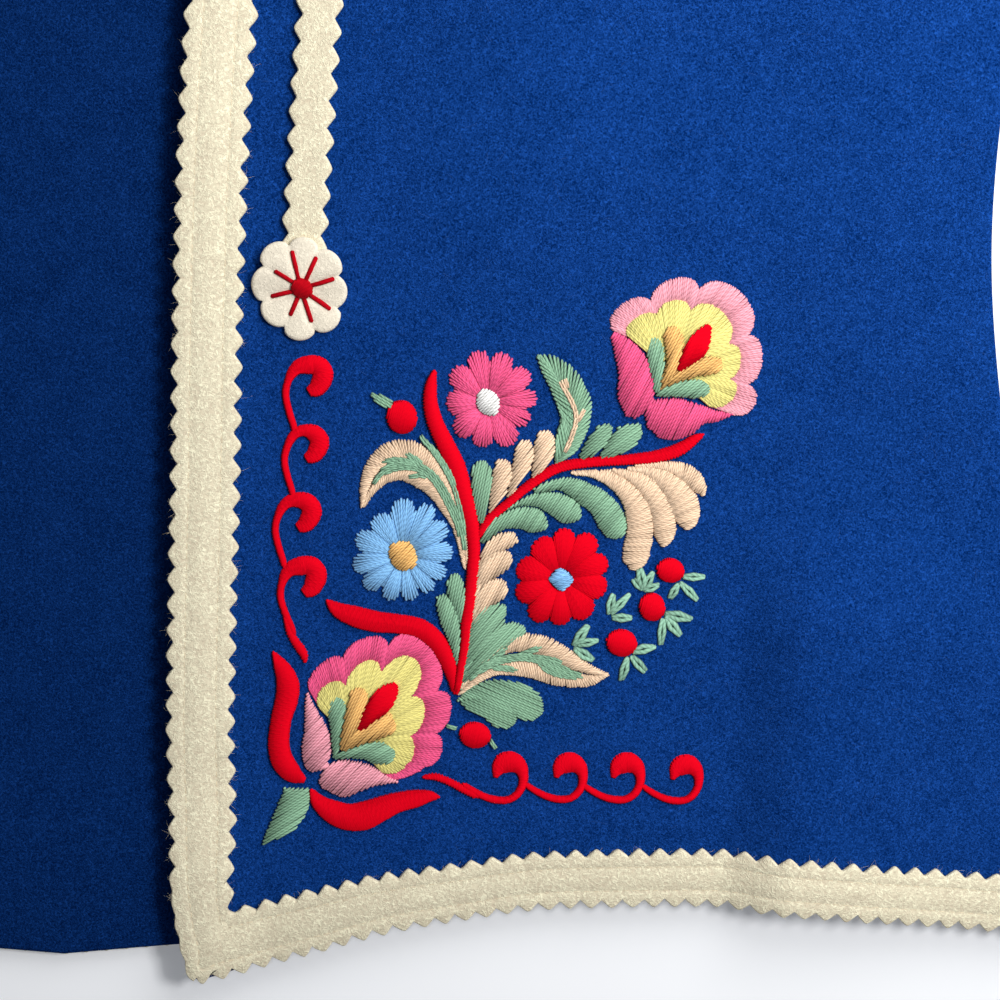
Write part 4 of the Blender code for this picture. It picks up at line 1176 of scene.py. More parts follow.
def blade(thread, layer, angle, lean, rows, spacing, half_width):
    """A shape along a path with a width: filled with parallel stitches, or with stitches that cross it from
    rail to rail, each leaning so that its two ends are the lean apart along the path."""
    line = curve(rows, 0.25)
    square = left_of(line)
    left = line[:, :2] + square * line[:, 2:3] / 2
    right = line[:, :2] - square * line[:, 2:3] / 2
    if angle is not None:
        first, last = hatched(np.vstack([left, right[::-1]]), angle, spacing)
        return stitch_rows(first, last, thread, padded_rise(first, last), layer, half_width)
    length = run_along(line)[-1]
    sine = math.sin(math.atan2(line[:, 2].mean(), abs(lean) + 0.01))
    longest = max(run_along(left)[-1], run_along(right)[-1])
    count = max(3, round((longest + abs(lean)) * sine * CROSSING_CLOSER / spacing))
    place = np.linspace(-abs(lean) / 2, length + abs(lean) / 2, count)
    first = at_run(line, np.clip(place - lean / 2, 0, length), left)
    last = at_run(line, np.clip(place + lean / 2, 0, length), right)
    longer = np.linalg.norm(last - first, axis=1) > SHORTEST_CROSSING
    first, last = first[longer], last[longer]
    return stitch_rows(first, last, thread, padded_rise(first, last), layer, half_width)


def comma_rows(shape, across, along, size, turn=0.0, full=0.0):
    """A comma's rows at one place, scaled and turned; a full one is wider at its arch, inwards."""
    rows = np.array(shape, float) * size
    rows[:, 1] -= rows[:, 3] * full * 0.6
    rows[:, 2] += rows[:, 3] * full
    angle = math.radians(turn)
    x = rows[:, 0] * math.cos(angle) - rows[:, 1] * math.sin(angle)
    y = rows[:, 0] * math.sin(angle) + rows[:, 1] * math.cos(angle)
    return np.column_stack([x + across, y + along, rows[:, 2]])


def scalloped(rows, samples):
    """Scallops between notches: each a cubic arc whose handles carry its middle to the tip, as an array of
    (scallop, sample, 2)."""
    rows = np.array(rows, float)
    low, tip, high = rows[0:-1:2], rows[1::2], rows[2::2]
    handle = (tip - (low + high) / 2) * 4 / 3
    spread = (high - low) * 0.12
    t = np.linspace(0, 1, samples)[None, :, None]
    low, high = low[:, None], high[:, None]
    near, far = low + handle[:, None] - spread[:, None], high + handle[:, None] + spread[:, None]
    return (1 - t) ** 3 * low + 3 * t * (1 - t) ** 2 * near + 3 * t**2 * (1 - t) * far + t**3 * high


def tulip(ring_thread, ring, inner_ring, heart, spacing, half_width):
    """Two scalloped rings of stitches that run in towards the heart of the flower."""
    outer = scalloped(ring, 41)
    inner = scalloped(inner_ring, 41)
    parts = []
    rings = ((ring_thread, outer, RING_OVERLAP, 0), ("yellow", inner, HEART_SHARE, 1))
    for thread, far, share_in, layer in rings:
        near = inner + (np.array(heart) - inner) * share_in
        for k in range(len(far)):
            count = max(4, round(run_along(far[k])[-1] / spacing * 1.02))
            share = (np.arange(count) + 0.5) / count
            first = at_share(far[k], share)
            last = at_share(near[k], share)
            rise = padded_rise(first, last) * (1 - NOTCH_LOWER * np.abs(2 * share - 1) ** 4)
            parts.append(stitch_rows(first, last, thread, rise, layer, half_width))
    return np.vstack(parts)


def flower(thread, core_thread, centre, core, petals, spacing, half_width):
    """Petals of stitches that run out from the centre to a round tip, lower towards the petal's sides, and a
    centre of parallel stitches."""
    half_a, half_b, tilt, power = core
    tips = np.array(petals, float)
    before = np.roll(tips[:, 0], 1)
    before[0] += 360
    after = np.roll(tips[:, 0], -1)
    after[-1] -= 360
    parts = []
    for (angle, reach), high, low in zip(tips, (tips[:, 0] + before) / 2, (tips[:, 0] + after) / 2):
        count = max(7, round(math.radians(high - low) * reach * 0.88 / spacing))
        u = np.linspace(-0.96, 0.96, count)
        turn = np.radians(np.where(u > 0, angle + u * (high - angle), angle + u * (angle - low)))
        roundness = np.sqrt(1 - np.abs(u) ** 2.2)
        radius = reach * (0.7 + 0.3 * roundness) * (1 - 0.025 * (np.arange(count) % 2))
        out = np.column_stack([np.cos(turn), np.sin(turn)])
        from_tilt = turn - math.radians(tilt)
        base = PETAL_START / np.hypot(np.cos(from_tilt) / half_a, np.sin(from_tilt) / half_b)
        first, last = centre + out * base[:, None], centre + out * radius[:, None]
        parts.append(stitch_rows(first, last, thread, 0.12 + 0.54 * roundness, 0, half_width))
    parts.append(oval(core_thread, centre, half_a, half_b, tilt, 2, tilt + 25, spacing, half_width, power))
    return np.vstack(parts)


def oval(thread, centre, half_a, half_b, tilt, layer, angle, spacing, half_width, power=1.0):
    """An ellipse of parallel stitches, padded towards its middle. A power over 1 draws it in to a diamond,
    and one under 1 fills its corners."""
    turn = np.linspace(0, 2 * math.pi, 48, endpoint=False)
    lean = math.radians(tilt)
    cos, sin = np.cos(turn), np.sin(turn)
    x = half_a * np.sign(cos) * np.abs(cos) ** power
    y = half_b * np.sign(sin) * np.abs(sin) ** power
    ring = np.column_stack([x * math.cos(lean) - y * math.sin(lean), x * math.sin(lean) + y * math.cos(lean)])
    first, last = hatched(ring + centre, angle, spacing)
    length = np.linalg.norm(last - first, axis=1)
    return stitch_rows(first, last, thread, 0.3 + 0.4 * length / (2 * half_a), layer, half_width)


def looped_leaf(x0, y0, x1, y1, width):
    """A looped stitch: two threads that bow apart between the same ends."""
    first, last = np.array([[x0, y0]]), np.array([[x1, y1]])
    ahead = (last - first) / np.linalg.norm(last - first)
    aside = np.column_stack([-ahead[:, 1], ahead[:, 0]]) * width * 0.28
    middles = [(first + last) / 2 + aside * sign for sign in (-1, 1)]
    return np.vstack([
        stitch_rows(first, last, "pale_green", 0.3, 0, width * 0.25, middle) for middle in middles
    ])


def stem_stitched(thread, width, points):
    """A line of overlapping stitches, each a little aslant to the line, in as many lanes as its width needs.
    The outer lanes are shorter, so that the line ends in points."""
    line = curve(points, 0.25)
    square = left_of(line)
    length = run_along(line)[-1]
    lanes = max(1, round(width / LANE))
    parts = []
    for lane in range(lanes):
        off = (lane - (lanes - 1) / 2) * width / lanes
        skipped = 0.35 * length * abs(off) / width
        reach = min(STEM_STITCH, length - 2 * skipped)
        count = max(1, round((length - reach - 2 * skipped) / STEM_STEP) + 1)
        start = np.linspace(skipped, length - reach - skipped, count)
        first = at_run(line, start) + at_run(line, start, square) * (off + STEM_SLANT)
        last = at_run(line, start + reach) + at_run(line, start + reach, square) * (off - STEM_SLANT)
        parts.append(stitch_rows(first, last, thread, 0.36, 3, min(width * 0.42, 0.3)))
    return np.vstack(parts)


def embroidery_rows(spacing, half_width):
    """All stitches of a left front. The red ones lie closer, so that they close to a smooth face."""
    dense = spacing * RED_SPACING
    lying = [(y, x, *rest) for x, y, *rest in HEM_COMMA]
    commas = [comma_rows(COMMA, *place) for place in COMMAS]
    commas += [comma_rows(lying, *place) for place in HEM_COMMAS]
    parts = [tulip(*row, spacing, half_width) for row in TULIPS]
    parts += [blade(*row, dense if row[0] == "red" else spacing, half_width) for row in BLADES]
    parts += [blade("red", 1, None, COMMA_LEAN, rows, dense, half_width) for rows in commas]
    parts += [flower(*row, dense if row[0] == "red" else spacing, half_width) for row in FLOWERS]
    for across, along, half_a, half_b in BERRIES:
        parts.append(oval("red", (across, along), half_a, half_b, 0, 1, 76, dense, half_width))
    parts += [looped_leaf(*row) for row in LOOPS]
    parts += [stem_stitched(*row) for row in STROKES]
    return np.vstack(parts)


def thread_piece(name, rows, base, side, materials, rng, height=TUBE_HEIGHT):
    """Stitches as closed twisted tubes: each a half round section carried along a parabola in plan, which
    rises from the cloth at one end and dives into it at the other."""
    count = len(rows)
    first, middle, last = rows[:, 0:2], rows[:, 2:4], rows[:, 4:6]
    thread, rise, layer, half = rows[:, 6].astype(int), rows[:, 7], rows[:, 8], rows[:, 9]
    silky = thread == THREADS.index("red")
    scatter = (half * np.where(silky, RED_SCATTER, 1.0))[:, None]
    first = first + rng.normal(0, SCATTER, first.shape) * scatter
    last = last + rng.normal(0, SCATTER, last.shape) * scatter
    half = half * np.where(silky, RED_FULLNESS, 1.0)
    height = height * np.where(silky, RED_HEIGHT, 1.0)[:, None, None]
    rise = rise * (1 + rng.uniform(-0.1, 0.1, count) * np.where(silky, RED_UNEVEN, 1.0))
    length = np.linalg.norm(last - first, axis=1)
    near = np.minimum(np.array(END_DISTANCES) / np.maximum(length, 0.3)[:, None], END_SHARES)
    t = np.column_stack([near, np.full(count, 0.5), 1 - near[:, ::-1]])
    handle = 2 * middle - (first + last) / 2
    first, handle, last = first[:, None], handle[:, None], last[:, None]
    after, before = t[..., None], (1 - t)[..., None]
    plan = before**2 * first + 2 * after * before * handle + after**2 * last
    slope = 2 * before * (handle - first) + 2 * after * (last - handle)
    slope /= np.maximum(np.linalg.norm(slope, axis=2), 1e-6)[..., None]
    aside = np.stack([-slope[..., 1], slope[..., 0]], axis=2)
    share = np.array([*END_LIFTS, 1.0, *END_LIFTS[::-1]])
    thin = np.array([*END_WIDTHS, 1.0, *END_WIDTHS[::-1]])
    ground = base(plan[..., 0], plan[..., 1])
    lift = layer[:, None] * LAYER * np.minimum(1, share * 3) + rise[:, None] * share - DIVE * (share == 0)
    section = np.array(TUBE)
    width = half[:, None] * np.where(silky[:, None], 0.5 + 0.5 * thin, thin)
    across = plan[:, :, None] + aside[:, :, None] * (width[..., None] * section[:, 0])[..., None]
    up = (ground + lift)[..., None] + (width[..., None] * height * section[:, 1])
    points = np.concatenate([across, up[..., None]], axis=3)
    stations, around = points.shape[1:3]
    faces = many_tubes(count, stations, around)
    obj = new_piece(name, *on_side(side, points.reshape(-1, 3), faces), materials)
    mesh = obj.data
    if len(materials) > 1:
        indices = np.concatenate([np.repeat(thread, (stations - 1) * around), np.repeat(thread, 2)])
        mesh.polygons.foreach_set("material_index", indices.astype(np.int32))
    run = t * length[:, None] + rng.uniform(0, 9, count)[:, None]
    round_share = np.linspace(0, 1, around)
    uv = np.stack(np.broadcast_arrays(run[..., None], round_share), axis=3).reshape(-1, 2)
    loops = np.empty(len(mesh.loops), np.int32)
    mesh.loops.foreach_get("vertex_index", loops)
    placed_uv = mesh.uv_layers.new(name="Thread")
    placed_uv.data.foreach_set("uv", uv[loops].astype(np.float32).reshape(-1))
    tone = mesh.attributes.new("tone", "FLOAT", "POINT")
    shade = np.repeat(rng.uniform(0, 1, count), stations * around)
    tone.data.foreach_set("value", shade.astype(np.float32))
    return obj


def flower_outline():
    """The felt flower's outline: round petals between notches, as its reach, unit vectors, how full the petal
    is, and angle at each point."""
    angles, reaches = np.array(PETALS, float).T
    low = (angles + np.roll(angles, 1) - 360 * (np.arange(len(angles)) == 0)) / 2
    high = np.roll(low, -1) + 360 * (np.arange(len(angles)) == len(angles) - 1)
    share = np.arange(PER_PETAL) / PER_PETAL
    lobe = np.tile(np.abs(np.sin(math.pi * share)) ** LOBE_BLUNTNESS, len(angles))
    angle = np.radians((low[:, None] + share * (high - low)[:, None]).reshape(-1))
    edge = np.repeat(reaches, PER_PETAL) * (NOTCH_SHARE + (1 - NOTCH_SHARE) * lobe)
    edge[::PER_PETAL] = NOTCH_SHARE * (reaches + np.roll(reaches, 1)) / 2
    return edge, np.column_stack([np.cos(angle), np.sin(angle)]), lobe, angle


def felt_flower(name, side, word, wall):
    """The felt flower: top rings puffed up in each petal and drawn in by the red stitches, a round rim, and a
    flat underside that climbs over the end of the strip."""
    edge, out, lobe, angle = flower_outline()
    shares = np.reshape(FLOWER_RINGS, (-1, 1))
    reach = shares * edge
    drawn = np.zeros(reach.shape)
    for direction, ray in STAR:
        away = np.abs((angle - math.radians(direction) + math.pi) % (2 * math.pi) - math.pi)
        inside = smooth_step((ray + 0.8 - reach) / 1.5) * (away < DRAWN_ANGLE)
        drawn = np.maximum(drawn, np.exp(-((away * reach / DRAWN_WIDTH) ** 2)) * inside)
    rim = np.interp(shares, *np.transpose(FLOWER_RIM))
    top = wall * (rim + PUFF * (lobe - 0.6) * (shares > PUFF_FROM)) - DRAWN_IN * drawn
    reach = np.vstack([reach, np.reshape(UNDER_RINGS, (-1, 1)) * edge])
    top = np.vstack([top, np.zeros((len(UNDER_RINGS), len(edge)))])
    plan = out * reach[..., None] + FLOWER_CENTRE
    base = on_strip_end(side)
    grid = np.dstack([plan, base(plan[..., 0], plan[..., 1]) + top])
    middle = np.array(FLOWER_CENTRE)
    floor = base(middle[0:1], middle[1:2])[0]
    points = np.vstack([grid.reshape(-1, 3), [[*middle, floor + wall - DRAWN_IN]], [[*middle, floor]]])
    count = len(edge)
    total = len(grid) * count
    around = np.arange(count)
    beside = (around + 1) % count
    last = total - count
    faces = [
        tube_faces(len(grid), count)[:, [0, 3, 2, 1]],
        np.column_stack([np.full(count, total), around, beside]),
        np.column_stack([np.full(count, total + 1), last + beside, last + around]),
    ]
    points, faces = on_side(side, points, faces)
    return new_piece(name, points, faces, [named("felt_white")], (f"felt_daisy_{word}",), "white_felt")


def hairs(name, points, directions, lengths, base, thickness, material, side, rng):
    """Loose fibres: three-sided tubes that bend once in plan and arch up off the cloth, with fine ends."""
    count = len(points)
    t = np.array(FIBRE_PLACES)
    ahead = t * lengths[:, None]
    bend = rng.normal(0, 0.5, count)[:, None] * t * ahead
    aside = np.column_stack([-directions[:, 1], directions[:, 0]])[:, None]
    plan = points[:, None] + directions[:, None] * ahead[..., None] + aside * bend[..., None]
    arch = rng.uniform(0.05, 0.4, count)[:, None] * np.sin(math.pi * t) * np.minimum(lengths, 3)[:, None] / 2
    height = base(plan[..., 0], plan[..., 1]) + arch + 0.02
    turn = 2 * math.pi * np.arange(3) / 3
    radius = thickness * np.array(FIBRE_TAPER)[:, None]
    across = plan[:, :, None] + aside[:, None] * (radius * np.cos(turn))[..., None]
    up = height[..., None] + radius * np.sin(turn)
    body = np.concatenate([across, up[..., None]], axis=3).reshape(-1, 3)
    new_piece(name, *on_side(side, body, many_tubes(count, len(t), 3)), [named(material)])


# Materials


def fill(tree, made, inputs):
    """Set a node's inputs to values, or link them to sockets."""
    for key, value in inputs.items():
        if isinstance(value, bpy.types.NodeSocket):
            tree.links.new(value, made.inputs[key])
        else:
            made.inputs[key].default_value = value


def node(tree, kind, inputs=None, **settings):
    """A shader node with its settings, its inputs set to values or linked to sockets."""
    made = tree.nodes.new(kind)
    for key, value in settings.items():
        setattr(made, key, value)
    fill(tree, made, inputs or {})
    return made


def math_node(tree, operation, *values, clamp=False):
    """The result of a Math node on values or sockets."""
    made = node(tree, "ShaderNodeMath", dict(enumerate(values)), operation=operation, use_clamp=clamp)
    return made.outputs[0]


def group(name, inputs, outputs):
    """An empty shader node group with float inputs (name, default) or vectors (name), and outputs."""
    tree = bpy.data.node_groups.new(name, "ShaderNodeTree")
    for title, default in inputs:
        kind = "NodeSocketVector" if default is None else "NodeSocketFloat"
        socket = tree.interface.new_socket(title, in_out="INPUT", socket_type=kind)
        if default is not None:
            socket.default_value = default
    for title in outputs:
        tree.interface.new_socket(title, in_out="OUTPUT", socket_type="NodeSocketFloat")
    start = tree.nodes.new("NodeGroupInput")
    end = tree.nodes.new("NodeGroupOutput")
    return tree, start, end


def noise(tree, vector, scale, detail=2.0, roughness=0.5):
    """Soft noise from 0 to 1 at the vector, with so many waves to the metre."""
    inputs = {"Vector": vector, "Detail": detail, "Roughness": roughness, "Scale": scale}
    return node(tree, "ShaderNodeTexNoise", inputs).outputs["Fac"]


def ridge_lines(tree, vector, scale, sharpness):
    """Thin curly lines where a noise passes its middle value: 1 on the line, 0 away from it."""
    inputs = {"Vector": vector, "Detail": 1.0, "Distortion": 0.6, "Scale": scale}
    made = node(tree, "ShaderNodeTexNoise", inputs)
    off = math_node(tree, "ABSOLUTE", math_node(tree, "SUBTRACT", made.outputs["Fac"], 0.5))
    return math_node(tree, "SUBTRACT", 1.0, math_node(tree, "MULTIPLY", off, sharpness), clamp=True)


def fibre_group():
    """Matted fibres: curly lines where two distorted noises pass their middle, over fine grain, and soft
    blotches."""
    tree, start, end = group(
        "matted_fibres",
        (("Vector", None), ("Fineness", 900.0), ("Blotches", 140.0)),
        ("Fibres", "Blotch", "Height"),
    )
    place = start.outputs["Vector"]
    fineness = start.outputs["Fineness"]
    finer = math_node(tree, "MULTIPLY", fineness, 1.6)
    moving = {"Vector": place, "Location": (3, 7, 1), "Rotation": (0, 0, 0.7)}
    moved = node(tree, "ShaderNodeMapping", moving)
    first = ridge_lines(tree, place, fineness, 24.0)
    second = ridge_lines(tree, moved.outputs[0], finer, 18.0)
    grain = noise(tree, place, math_node(tree, "MULTIPLY", fineness, 2.0), 1.0, 0.5)
    lines = math_node(tree, "MAXIMUM", first, math_node(tree, "MULTIPLY", second, 0.8))
    fibres = math_node(tree, "MULTIPLY_ADD", grain, 0.6, math_node(tree, "MULTIPLY", lines, 0.45))
    blotch = noise(tree, place, start.outputs["Blotches"], 3.0, 0.6)
    tree.links.new(fibres, end.inputs["Fibres"])
    tree.links.new(blotch, end.inputs["Blotch"])
    tree.links.new(math_node(tree, "MULTIPLY_ADD", blotch, 0.5, fibres), end.inputs["Height"])
    return tree


def twist_group():
    """Two-ply twist: a slanted wave of the thread's own length and roundness, sharpened in its valleys, with
    fine fibre noise. The ply output is painted light and shade: dark in the valleys between the plies and
    towards the tube's sides, light on its crest."""
    tree, start, end = group(
        "twisted_plies",
        (("UV", None), ("Object", None), ("Pitch", 1.5)),
        ("Ply", "Fluff", "Height"),
    )
    parts = node(tree, "ShaderNodeSeparateXYZ", {0: start.outputs["UV"]})
    run = math_node(tree, "DIVIDE", parts.outputs[0], start.outputs["Pitch"])
    phase = math_node(tree, "MULTIPLY_ADD", parts.outputs[1], 0.85, run)
    wave = math_node(tree, "SINE", math_node(tree, "MULTIPLY", phase, math.pi * 2))
    wave = math_node(tree, "ABSOLUTE", wave)
    # Painted shade: the thread darkens towards its sides, where neighbouring stitches shade it, and is lit on
    # its crest.
    roundness = math_node(tree, "SINE", math_node(tree, "MULTIPLY", parts.outputs[1], math.pi))
    painted_crest_light = math_node(tree, "MULTIPLY", roundness, math_node(tree, "MULTIPLY_ADD", wave, 0.1, 0.5))
    ply = math_node(tree, "MULTIPLY_ADD", wave, 0.4, painted_crest_light)
    fluff = noise(tree, start.outputs["Object"], 2600.0, 2.0, 0.6)
    tree.links.new(ply, end.inputs["Ply"])
    tree.links.new(fluff, end.inputs["Fluff"])
    tree.links.new(math_node(tree, "MULTIPLY_ADD", fluff, 0.35, ply), end.inputs["Height"])
    return tree


def shaded(colour, factor):
    """The colour made lighter or darker by a factor, with a full alpha."""
    return (*[min(1.0, max(0.0, c * factor)) for c in colour], 1.0)


def ramp(tree, factor, low, high, start=0.0, end=1.0):
    """A colour that moves from the low to the high one while the factor moves from the start to the end."""
    made = node(tree, "ShaderNodeValToRGB", {0: factor})
    made.color_ramp.elements[0].position, made.color_ramp.elements[0].color = start, low
    made.color_ramp.elements[1].position, made.color_ramp.elements[1].color = end, high
    return made.outputs[0]


def bumped(tree, height, strength, distance):
    """The surface's normal turned by a height, over a distance in millimetres."""
    inputs = {"Strength": strength, "Distance": distance * MM, "Height": height}
    return node(tree, "ShaderNodeBump", inputs).outputs[0]


def new_material(name, roughness, sheen=0.0, sheen_tint=(1, 1, 1), specular=0.06):
    """A dull material with a soft sheen, its node tree and its shader."""
    made = bpy.data.materials.new(name)
    made.use_nodes = True
    tree = made.node_tree
    shader = tree.nodes["Principled BSDF"]
    shader.inputs["Roughness"].default_value = roughness
    shader.inputs["Specular IOR Level"].default_value = specular
    shader.inputs["Sheen Weight"].default_value = sheen
    shader.inputs["Sheen Roughness"].default_value = 0.5
    shader.inputs["Sheen Tint"].default_value = (*sheen_tint, 1.0)
    return made, tree, shader


def matted_material(name, colour, fineness, blotches, contrast, bump, light, dark, pale=0, span=(0.25, 0.85)):
    """Wool or felt: its colour moves from a dark tone to a light one, and a little to white, along the matted
    fibres and in soft blotches."""
    made, tree, shader = new_material(name, 0.95, specular=0.0)
    place = node(tree, "ShaderNodeTexCoord").outputs["Object"]
    inputs = {"Vector": place, "Fineness": fineness, "Blotches": blotches}
    cloth = node(tree, "ShaderNodeGroup", node_tree=bpy.data.node_groups["matted_fibres"])
    fill(tree, cloth, inputs)
    blotch = math_node(tree, "SUBTRACT", cloth.outputs["Blotch"], 0.5)
    tone = math_node(tree, "MULTIPLY_ADD", blotch, contrast, cloth.outputs["Fibres"], clamp=True)
    bright = [c * light + part * pale for c, part in zip(colour, (0.12, 0.4, 1.0))]
    colours = ramp(tree, tone, shaded(colour, dark), shaded(bright, 1.0), *span)
    tree.links.new(colours, shader.inputs["Base Color"])
    tree.links.new(bumped(tree, cloth.outputs["Height"], 0.9, bump), shader.inputs["Normal"])
    made.diffuse_color = (*colour, 1.0)


def thread_material(name, colour, roughness, sheen, pitch, contrast):
    """Twisted thread: painted shade between the plies and at the sides of each stitch, painted highlight on
    the plies, and no two stitches quite the same.
    """
    made, tree, shader = new_material(name, roughness, sheen, [0.2 + c * 0.8 for c in colour], 0.03)
    place = node(tree, "ShaderNodeTexCoord").outputs["Object"]
    uv = node(tree, "ShaderNodeUVMap", uv_map="Thread").outputs[0]
    twist = node(tree, "ShaderNodeGroup", node_tree=bpy.data.node_groups["twisted_plies"])
    fill(tree, twist, {"UV": uv, "Object": place, "Pitch": pitch})
    tone = node(tree, "ShaderNodeAttribute", attribute_name="tone").outputs["Fac"]
    mixed = math_node(tree, "MULTIPLY", twist.outputs["Ply"], 0.75)
    mixed = math_node(tree, "MULTIPLY_ADD", tone, 0.25, mixed)
    mixed = math_node(tree, "MULTIPLY_ADD", twist.outputs["Fluff"], 0.2, mixed, clamp=True)
    # The colour runs from painted shade to painted highlight as the ply shading runs.
    dark, light = shaded(colour, 1 - contrast), shaded(colour, 1 + contrast * 0.45)
    tree.links.new(ramp(tree, mixed, dark, light, 0.1, 1.0), shader.inputs["Base Color"])
    tree.links.new(bumped(tree, twist.outputs["Height"], 0.8, 0.09), shader.inputs["Normal"])
    made.diffuse_color = (*colour, 1.0)


def cloth_materials(colours):
    """The wool, felt and thread materials, made once."""
    if "matted_fibres" in bpy.data.node_groups:
        return
    fibre_group()
    twist_group()
    wool, cream, white = tuple(colours.wool), tuple(colours.cream), tuple(colours.felt_white)
    # The back is painted in shade: its wool is 0.6 of the fronts' colour, for the shadow it lies in beside
    # the raised fronts.
    shade = [0.6 * c for c in wool]
    # Painted sheen: the loose fibres are coloured lighter and whiter than the wool, for the light they catch.
    fibre_sheen_colour = [pale + 2.2 * c for pale, c in zip((0.05, 0.1, 0.16), wool)]
    matted_material("wool_cloth", wool, 1000.0, 120.0, 0.2, 0.1, 2.2, 0.6, 0.08, (0.2, 0.9))
    matted_material("wool_inside", shade, 1000.0, 120.0, 0.2, 0.1, 2.2, 0.6, 0.05, (0.2, 0.9))
    matted_material("felt_cream", cream, 640.0, 160.0, 0.3, 0.2, 1.2, 0.72, 0.0, (0.15, 0.8))
    matted_material("felt_white", white, 700.0, 250.0, 0.4, 0.14, 1.06, 0.82, 0.0, (0.1, 0.8))
    matted_material("wool_fibres", fibre_sheen_colour, 900.0, 130.0, 0.2, 0.0, 1.2, 0.8)
    matted_material("felt_fibres", cream, 900.0, 130.0, 0.2, 0.0, 1.1, 0.9)
    # The last value of each finish is how strongly the shade between plies and stitches is painted.
    for thread in THREADS:
        finish = (0.8, 0.04, TWIST_PITCH, 0.08) if thread == "red" else (0.6, 0.2, TWIST_PITCH, 0.85)
        thread_material(f"{thread}_thread", tuple(getattr(colours, thread)), *finish)
    thread_material("crimson_thread", tuple(colours.star), 0.7, 0.15, TWIST_PITCH, 0.3)
    thread_material("sewing_thread", tuple(colours.sewing), 0.6, 0.1, 0.5, 0.25)


def named(material):
    """One of the vest's materials by its name."""
    return bpy.data.materials[material]


# Operators


class VEST_OT_cloths(bpy.types.Operator):
    """Make the wool, felt and thread materials"""

    bl_idname = "vest.cloths"
    bl_label = "Cloths and Threads"

    def execute(self, context):
        cloth_materials(context.scene.vest_colours)
        return {"FINISHED"}


class VEST_OT_panels(bpy.types.Operator):
    """Make the two fronts and the back of blue wool"""

    bl_idname = "vest.panels"
    bl_label = "Wool Panels"

    def execute(self, context):
        cloth, cell = setting("cloth"), setting("cell")
        wool = [named("wool_cloth")]
        for side, word in SIDES:
            shell = cloth_shell(front_surface(side, cell), cloth, True)
            front = new_piece(f"wool_front_{word}", *shell, wool, (f"front_{word}",), "blue_wool")
        shell = cloth_shell(back_surface(cell * BACK_CELL), cloth, False)
        # The back's material paints it in shade, darker than the fronts.
        back = new_piece("wool_back", *shell, [named("wool_inside")], ("back",), "blue_wool")
        return {"FINISHED"}


class VEST_OT_bands(bpy.types.Operator):
    """Make the pinked felt bands of the front edges, the back's hem and the neck"""

    bl_idname = "vest.bands"
    bl_label = "Felt Bands"

    def execute(self, context):
        for side, word in SIDES:
            stations = mirrored_stations(edge_band_stations(side), side)
            base = on_front(side, FELT_GAP)
            name = f"felt_edge_{word}"
            band = felt_band(name, stations, base, (SEAM_IN,), (f"edge_band_{word}",), EDGE_LIFT, 5)
        far = HEM_BAND_WIDTH - BACK_TIP_OVER
        for word, line, pitch, depth, length, area in (
            ("back_hem", WHOLE_BACK_HEM_LINE, HEM_PITCH, HEM_TOOTH_DEPTH, 0.50, 0.0065),
            ("back_neck", WHOLE_BACK_NECK_LINE, FRONT_PITCH, TOOTH_DEPTH, 0.19, 0.0023),
        ):
            rng = np.random.default_rng(23)
            stations = parallel_stations(line, -BACK_TIP_OVER, far, pitch, depth, rng)
            band = felt_band(f"felt_{word}", stations, on_table, (), (f"{word}_band",), 0.0, 7)
        return {"FINISHED"}


class VEST_OT_strips(bpy.types.Operator):
    """Make the pinked felt strips over the darts"""

    bl_idname = "vest.strips"
    bl_label = "Felt Strips"

    def execute(self, context):
        half = STRIP_WIDTH / 2
        for side, word in SIDES:
            rng = np.random.default_rng(31 + side)
            stations = parallel_stations(DART_LINE, -half, half, FRONT_PITCH, STRIP_TOOTH_DEPTH, rng)
            stations = mirrored_stations(stations, side)
            base = on_front(side, FELT_GAP)
            replaced = (f"dart_strip_{word}",)
            strip = felt_band(f"felt_strip_{word}", stations, base, (), replaced, STRIP_LIFT, 9)
        return {"FINISHED"}


class VEST_OT_flowers(bpy.types.Operator):
    """Make the white felt flowers with their red stitched stars"""

    bl_idname = "vest.flowers"
    bl_label = "Felt Flowers"

    def execute(self, context):
        felt = setting("felt")
        centre = np.array(FLOWER_CENTRE) + STAR_OFF
        parts = []
        for direction, reach in STAR:
            out = np.array([math.cos(math.radians(direction)), math.sin(math.radians(direction))])
            first, last = centre + out * STAR_START, centre + out * reach
            parts.append(stitch_rows(first, last, "star", 0.06, 0, STAR_HALF))
        parts.append(oval("star", centre, STAR_HEART, STAR_HEART, 0, 1, 60, HEART_SPACING, 0.4))
        rows = np.vstack(parts)
        crimson = [named("crimson_thread")]
        for side, word in SIDES:
            petals = felt_flower(f"felt_flower_{word}", side, word, felt)
            rng = np.random.default_rng(41)
            top = on_strip_end(side, felt - STAR_DEPTH)
            star = thread_piece(f"flower_star_{word}", rows, top, side, crimson, rng, 0.9)
        return {"FINISHED"}


class VEST_OT_embroidery(bpy.types.Operator):
    """Make the satin stitch embroidery of both fronts"""

    bl_idname = "vest.embroidery"
    bl_label = "Embroidery"

    def execute(self, context):
        rows = embroidery_rows(setting("spacing"), setting("thread") / 2)
        materials = [named(f"{thread}_thread") for thread in THREADS]
        for side, word in SIDES:
            rng = np.random.default_rng(51 + side)
            thread_piece(f"embroidery_{word}", rows, on_front(side, 0.0), side, materials, rng)
        return {"FINISHED"}


